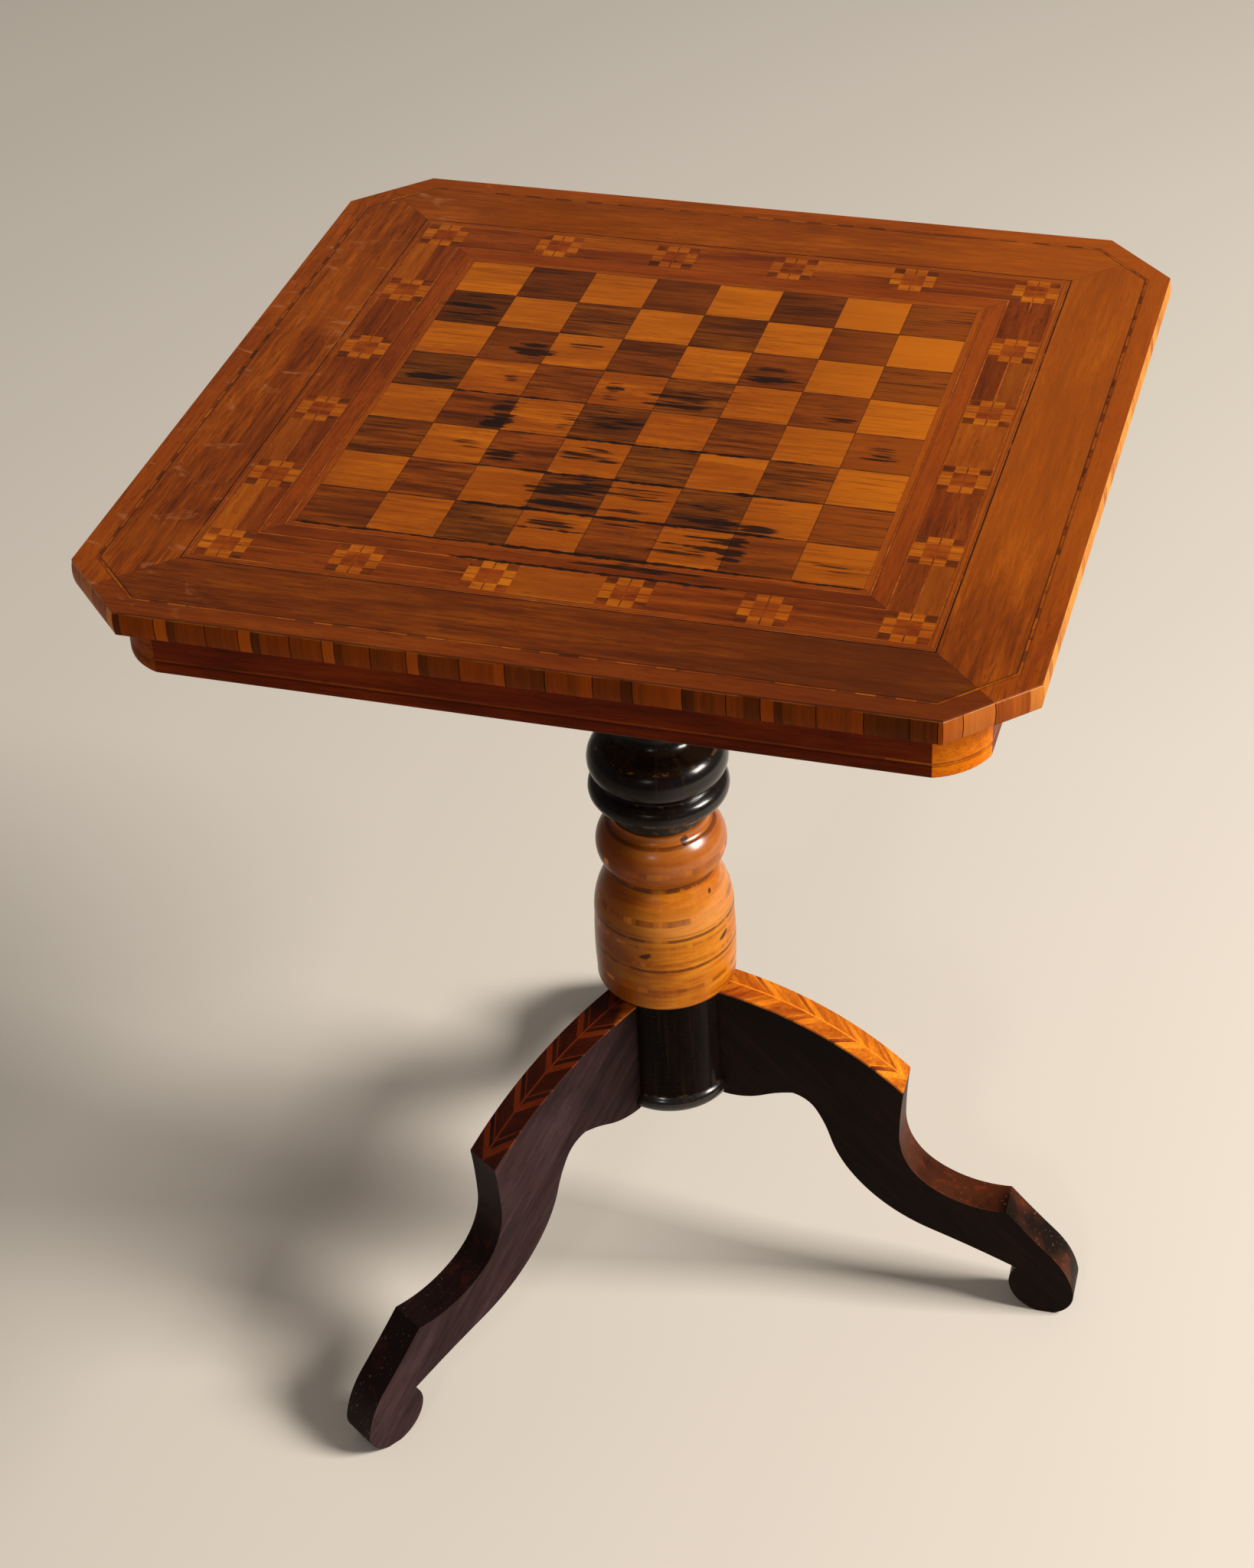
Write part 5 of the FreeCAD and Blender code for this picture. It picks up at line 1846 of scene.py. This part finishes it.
@dataclass
class EdgeMoulding:
    """The convex edge moulding, built as rows of short cross-grained blocks."""

    thickness: float = 6.0 * MM
    low_round: float = 1.0 * MM
    high_round: float = 0.8 * MM
    block_length: float = 25.0 * MM
    groove: float = 0.28 * MM
    mitre_gap: float = 0.12 * MM
    rings: int = 8

    def corners(self) -> List[Vector]:
        """The board's eight corners from the front side's left end.

        Returns:
            The corners, at the floor's level.
        """
        x, y, cut = PLAN.half_width, PLAN.half_depth, PLAN.corner_cut
        flat = [
            (-x + cut, -y),
            (x - cut, -y),
            (x, -y + cut),
            (x, y - cut),
            (x - cut, y),
            (-x + cut, y),
            (-x, y - cut),
            (-x, -y + cut),
        ]
        return [Vector((a, b, 0.0)) for a, b in flat]

    def setback(self, share: float) -> float:
        """How far the convex face stands back at a share of its height.

        Args:
            share: The share, from 0 below to 1 above.

        Returns:
            The distance in metres.
        """
        half = (PLAN.core_top - PLAN.under) / 2
        arc = [(self.low_round, -half), (0.0, 0.0), (self.high_round, half)]
        centre = circle_centre(*arc)
        radius = math.hypot(arc[1][0] - centre[0], arc[1][1] - centre[1])
        level = half * (share * 2 - 1) - centre[1]
        return centre[0] - math.sqrt(radius**2 - level**2)

    def bar(self, name: str, start: Vector, end: Vector, strips: Sequence[Strip]) -> Workpiece:
        """One side of the board: a row of blocks with mitred ends.

        Args:
            name: The bar's name.
            start: Its first corner.
            end: Its second corner.
            strips: Its strips of wood, from start to end.

        Returns:
            The bar.
        """
        along = (end - start).normalized()
        out = Vector((along.y, -along.x, 0.0))
        half = (end - start).length / 2
        height = PLAN.core_top - PLAN.under
        piece = Workpiece.block(
            name, (-half, 0.0, PLAN.under), (half, self.thickness, PLAN.core_top)
        )
        for ring in range(1, self.rings):
            piece.cut((0.0, 0.0, PLAN.under + height * ring / self.rings), (0.0, 0.0, 1.0))
        for ring in range(self.rings + 1):
            level = PLAN.under + height * ring / self.rings
            piece.pick(
                lambda spot: abs(spot.z - level) < SAME_PLACE and spot.y < self.thickness / 2
            )
            setback = self.setback(ring / self.rings)
            bpy.ops.transform.translate(value=(0.0, setback, 0.0))
            bpy.ops.object.mode_set(mode="OBJECT")
        joints = [strip.end * MM for strip in strips if strip.joint][:-1]
        for strip in strips[:-1]:
            piece.cut((strip.end * MM, 0.0, 0.0), (1.0, 0.0, 0.0))
        for joint in joints:
            for aside in (-self.groove, self.groove):
                piece.cut((joint + aside, 0.0, 0.0), (1.0, 0.0, 0.0))
        piece.pick(
            lambda spot: spot.y < self.thickness / 2
            and min(abs(spot.x - joint) for joint in joints) < SAME_PLACE
        )
        bpy.ops.transform.translate(value=(0.0, self.groove, 0.0))
        bpy.ops.object.mode_set(mode="OBJECT")
        self.mark_strips(piece, strips, joints)
        piece.item.matrix_world = Matrix(
            (
                (along.x, -out.x, 0.0, (start.x + end.x) / 2),
                (along.y, -out.y, 0.0, (start.y + end.y) / 2),
                (0.0, 0.0, 1.0, 0.0),
                (0.0, 0.0, 0.0, 1.0),
            )
        )
        piece.focus()
        bpy.ops.object.transform_apply()
        slope = math.tan(math.radians(22.5))
        first = start + along * self.mitre_gap
        last = end - along * self.mitre_gap
        piece.cut(tuple(first), tuple(-along - out * slope), True)
        piece.cut(tuple(last), tuple(along - out * slope), True)
        return piece

    def mark_strips(
        self, piece: Workpiece, strips: Sequence[Strip], joints: Sequence[float]
    ) -> None:
        """Marks each face with its strip's shade, and the faces of open joints.

        Args:
            piece: The bar, lengthways along X.
            strips: Its strips.
            joints: The places of its open joints.
        """

        def shade(normal: Vector, middle: Vector) -> float:
            """The shade of the strip that a face belongs to.

            Args:
                normal: The face's direction, which is not used.
                middle: The face's middle.

            Returns:
                The strip's shade.
            """
            for strip in strips:
                if middle.x < strip.end * MM:
                    return strip.shade
            return strips[-1].shade

        def joint(normal: Vector, middle: Vector) -> float:
            """One on the faces of an open joint."""
            return float(min(abs(middle.x - place) for place in joints) < self.groove)

        piece.mark("shade", shade)
        piece.mark("joint", joint)

    def make(self) -> None:
        """Makes the eight bars and joins the four on the cut corners."""
        corners = self.corners()
        run_y = 2 * (PLAN.half_depth - PLAN.corner_cut) / MM
        sides = side_strips(run_y, self.block_length / MM)
        dark = EdgeFinish("edge_dark", EDGE_DARK).build()
        # The right side gets the ramp with painted light.
        painted_light_edge = EdgeFinish("edge_painted_light", EDGE_PAINTED_LIGHT, 0.8, tone(216, 146, 62)).build()
        cant = EdgeFinish("edge_cant", EDGE_CANT, 0.0, tone(214, 156, 104)).build()
        cants = []
        for index, (name, strips, finish) in enumerate(
            (
                ("front", FRONT_STRIPS, dark),
                ("right", sides, painted_light_edge),
                ("back", FRONT_STRIPS, dark),
                ("left", sides, dark),
            )
        ):
            start, end, after = (corners[(2 * index + step) % 8] for step in range(3))
            piece = self.bar("moulding_" + name, start, end, strips)
            piece.finish(finish, "top", "edge_wood", "edge_" + name, degrees=40.0)
            cants.append(self.bar(f"moulding_cant_{2 * index + 1}", end, after, CANT_STRIPS))
        cants[0].focus()
        for piece in cants[1:]:
            piece.item.select_set(True)
        bpy.ops.object.join()
        cants[0].item.name = "moulding_cants"
        cants[0].finish(cant, "top", "edge_wood", "edge_cants", degrees=40.0)


BARE = Polish(0.62, 0.1, 0.2, 0.0002)


@dataclass
class Board:
    """The inlaid board: every veneer is a node of the frame with its own finish."""

    hair: float = 0.12 * MM

    def make(self) -> None:
        """Dresses the veneers and the groundwork."""
        light = SquareFinish(
            "light_squares", Wood.LIGHT_SQUARE, Wood.LIGHT_RED, tone(196, 106, 8), 0.3
        )
        dark = SquareFinish(
            "dark_squares", Wood.DARK_SQUARE, Wood.DARK_OLIVE, tone(74, 30, 3), 0.0, 0.8, 0.7
        )
        dress(light, "chess_squares_light")
        dress(dark, "chess_squares_dark")
        self.paint_frames()
        self.paint_band()
        dress(TimberFinish("groundwork", Wood.SOFTWOOD, Lay.LEFT_TO_RIGHT, BARE), "board_core")

    def paint_frames(self) -> None:
        """Dresses the mitred frames, the lines between them and the dashed line."""
        hair = self.hair
        strip_rings = ((4.0 * MM, hair, 0.5), (46.7 * MM, hair, 0.5), (49.5 * MM, hair, 0.5))
        border_rings = ((5.3 * MM, hair, 0.4), (15.9 * MM, hair, 0.55))
        outer_rings = ((50.8 * MM, 0.28 * MM, 0.95),)
        outer_rims = ((15.85 * MM, 0.16 * MM, 0.75),)
        margin_rims = ((13.8 * MM, 0.1 * MM, 0.5),)
        for name, timber, front, rings, rims, nodes in (
            ("strip", Wood.STRIP, 0.1, strip_rings, (), ("field_strip", "outer_strip")),
            ("border", Wood.BORDER, 0.35, border_rings, (), ("inner_border",)),
            ("field", Wood.FIELD, 0.42, outer_rings, outer_rims, ("field_veneers",)),
            ("margin", Wood.STRIP, 0.42, (), margin_rims, ("margin_veneers",)),
        ):
            lay = Lay.ROUND_THE_BOARD
            dress(VeneerFinish(name + "_veneer", timber, lay, front, rings, rims), *nodes)
        line = TileFinish("pale_line", Wood.PALE, Wood.STRIP, 40.0 * MM)
        dress(line, "inner_line", "middle_line", "outer_line", "field_line")
        dress(DashFinish("dash_light", Wood.FLOWER, Wood.FIELD, 0.9, 0.15), "dashes_light")
        dress(DashFinish("dash_dark", Wood.INK, Wood.FIELD, 0.7, 0.95), "dashes_dark")

    @staticmethod
    def paint_band() -> None:
        """Dresses the panels and the small mosaic flowers between them."""
        dress(TileFinish("band_line", Wood.PALE, Wood.BORDER, 40.0 * MM), "band_lines")
        for name, timber, other, node in (
            ("light", Wood.FLOWER, Wood.LIGHT_SQUARE, "motif_squares_light"),
            ("red", Wood.FLOWER_RED, Wood.STRIP, "motif_squares_red"),
            ("dark", Wood.FLOWER_DARK, Wood.PANEL, "motif_squares_dark"),
            ("cross", Wood.STRIP, Wood.FLOWER_RED, "motif_crosses"),
        ):
            dress(TileFinish("flower_" + name, timber, other), node)
        for row, pale_share in (("inner", 0.15), ("outer", 0.45)):
            finish = PanelFinish("panel_" + row, Wood.PANEL, Wood.PANEL_PALE, pale_share)
            dress(finish, "band_panels_" + row)


@dataclass
class Apron:
    """The shallow apron with its bowed corners and its inlaid line."""

    bottom: float = 652.5 * MM
    eased: float = 0.8 * MM

    def make(self) -> None:
        """Dresses the rails and corners, with their lower arrises eased, and the rest."""
        satin = Polish(0.38, 0.14, 0.04, 0.00015)
        shadow = self.bottom + 7.6 * MM
        wide = Lay.LEFT_TO_RIGHT
        # The left corners get a darker wood as painted shade.
        across, deep, corner = (
            TimberFinish("apron_" + name, timber, lay, satin, shadow, left).build()
            for name, timber, lay, left in (
                ("across", Wood.APRON, wide, None),
                ("deep", Wood.APRON, Lay.FRONT_TO_BACK, None),
                ("corner", Wood.APRON_CORNER, wide, Wood.PANEL),
            )
        )
        for name, node, finish in (
            ("rail_front", "apron_front", across),
            ("rail_right", "apron_right", deep),
            ("rail_back", "apron_back", across),
            ("rail_left", "apron_left", deep),
            ("bowed_corners", "apron_corners", corner),
        ):
            piece = Workpiece.copy_of(name, node)
            piece.pick(lambda spot: abs(spot.z - self.bottom) < SAME_PLACE, edges=True)
            bpy.ops.mesh.bevel(offset=self.eased, segments=3, affect="EDGES")
            bpy.ops.object.mode_set(mode="OBJECT")
            piece.finish(finish, "top", "apron_wood", node)
        # Left of the split, the line gets a darker wood as painted shade.
        line = TimberFinish("apron_line", Wood.PALE, wide, satin, 0.0, Wood.PANEL, 0.2)
        dress(line, "apron_line")
        dress(TimberFinish("glue_block", Wood.SOFTWOOD, wide, BARE), "glue_blocks")


@dataclass
class Underside:
    """Pivot block, bearers, screws and the brass catch under the board."""

    sharp: float = 50.0

    def make(self) -> None:
        """Eases the wooden and brass parts and dresses everything."""
        waxed = Polish(0.5, 0.12, 0.3, 0.0002)
        walnut = TimberFinish("waxed_walnut", Wood.BEARER, Lay.LEFT_TO_RIGHT, waxed).build()
        brass = MetalFinish("aged_brass", tone(196, 158, 92), tone(112, 78, 40)).build()
        steel = MetalFinish("dull_steel", tone(150, 148, 144), tone(84, 74, 66), 0.45).build()
        for name, body, eased, finish, slot in (
            ("pivot_block", "stand", 1.0, walnut, "bearer_wood"),
            ("bearer_front", "top", 1.0, walnut, "bearer_wood"),
            ("bearer_back", "top", 1.0, walnut, "bearer_wood"),
            ("catch_pad", "top", 0.5, walnut, "bearer_wood"),
            ("catch_bolt", "catch", 0.2, brass, "brass"),
            ("catch_guides", "top", 0.2, brass, "brass"),
            ("catch_knob", "catch", 0.0, brass, "brass"),
        ):
            piece = Workpiece.copy_of("eased_" + name, name)
            if eased > 0:
                piece.ease(eased * MM, 2, self.sharp)
            piece.finish(finish, body, slot, name)
        paint(brass, "catch_plate", "catch_plate_screws", "keep_plate", "keep_screws")
        paint(steel, "bearer_screws", "pivot_screws", "base_cap_screw")
        wedge = TimberFinish("wedge_wood", Wood.SOFTWOOD, Lay.UPRIGHT, Polish(0.6, 0.1, 0.2))
        dress(wedge, "tenon_wedge")


@dataclass
class Studio:
    """Camera, floor, lamps and surroundings."""

    camera_place: Point = (0.4805, -1.5653, 1.6555)
    azimuth: float = 18.014
    elevation: float = 36.887
    roll: float = -3.052
    lens: float = 71.207
    sensor: float = 36.0
    floor_size: float = 16.0
    floor_colour: Colour = tone(226, 218, 207)
    floor_patch: Colour = tone(218, 209, 197)
    soft_light: Colour = (1.0, 0.96, 0.9)
    soft_strength: float = 0.19
    aim: Point = (0.0, 0.0, 0.5)
    lamps: Sequence[Tuple[str, Point, float, float, Colour]] = (
        ("key", (3.49, 0.17, 3.05), 1.5, 268.0, (1.0, 0.95, 0.88)),
        ("front", (-0.16, -4.16, 3.06), 0.5, 16.0, (1.0, 0.97, 0.94)),
    )

    def make_camera(self) -> None:
        """Places the camera at the photograph's view."""
        data = bpy.data.cameras.new("camera")
        data.sensor_fit = "VERTICAL"
        data.sensor_height = self.sensor
        data.lens = self.lens
        camera = bpy.data.objects.new("camera", data)
        bpy.context.scene.collection.objects.link(camera)
        turn = Matrix.Rotation(math.radians(self.azimuth), 4, "Z")
        tip = Matrix.Rotation(math.radians(90 - self.elevation), 4, "X")
        roll = Matrix.Rotation(math.radians(self.roll), 4, "Z")
        camera.matrix_world = Matrix.Translation(self.camera_place) @ turn @ tip @ roll
        bpy.context.scene.camera = camera

    def make_floor(self) -> None:
        """Lays a plain pale floor."""
        Workpiece.rest()
        bpy.ops.mesh.primitive_plane_add(size=self.floor_size, location=(0.0, 0.0, 0.0))
        floor = bpy.context.active_object
        floor.name = "studio_floor"
        graph = Graph("pale_floor")
        drift = graph.noise(1.5, 2.0)
        colour = graph.mix(drift * 0.2, self.floor_colour, self.floor_patch)
        graph.close({"Base Color": colour, "Roughness": 0.8, "Specular IOR Level": 0.1})
        floor.data.materials.append(graph.material)

    def lamp(self, name: str, place: Point, size: float, power: float, tint: Colour) -> None:
        """Hangs one soft square lamp.

        Args:
            name: The lamp's name.
            place: Where it hangs.
            size: Its side.
            power: Its power in watts.
            tint: Its colour.
        """
        data = bpy.data.lights.new(name, "AREA")
        data.shape = "RECTANGLE"
        data.size = size
        data.size_y = size
        data.energy = power
        data.color = tint
        lamp = bpy.data.objects.new(name, data)
        bpy.context.scene.collection.objects.link(lamp)
        aim = (Vector(self.aim) - Vector(place)).to_track_quat("-Z", "Y")
        lamp.matrix_world = Matrix.Translation(place) @ aim.to_matrix().to_4x4()

    def make_world(self) -> None:
        """Fills the surroundings with soft light, pale where they are seen."""
        world = bpy.data.worlds.new("studio")
        bpy.context.scene.world = world
        world.use_nodes = True
        tree = world.node_tree
        tree.nodes.clear()
        path = tree.nodes.new("ShaderNodeLightPath")
        mixed = tree.nodes.new("ShaderNodeMixShader")
        tree.links.new(path.outputs["Is Camera Ray"], mixed.inputs[0])
        for slot, colour, strength in (
            (1, self.soft_light, self.soft_strength),
            (2, self.floor_patch, 1.0),
        ):
            light = tree.nodes.new("ShaderNodeBackground")
            light.inputs["Color"].default_value = (*colour, 1.0)
            light.inputs["Strength"].default_value = strength
            tree.links.new(light.outputs[0], mixed.inputs[slot])
        output = tree.nodes.new("ShaderNodeOutputWorld")
        tree.links.new(mixed.outputs[0], output.inputs["Surface"])

    def make(self) -> None:
        """Sets the studio up."""
        self.make_camera()
        self.make_floor()
        for lamp in self.lamps:
            self.lamp(*lamp)
        self.make_world()
        bpy.context.scene.view_settings.view_transform = "Standard"


def main() -> None:
    """Builds the table and its studio."""
    logging.basicConfig(level=logging.INFO, format="%(message)s")
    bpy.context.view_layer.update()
    Studio().make()
    Column().make()
    Legs().make()
    EdgeMoulding().make()
    Board().make()
    Apron().make()
    Underside().make()


if __name__ == "__main__":
    main()
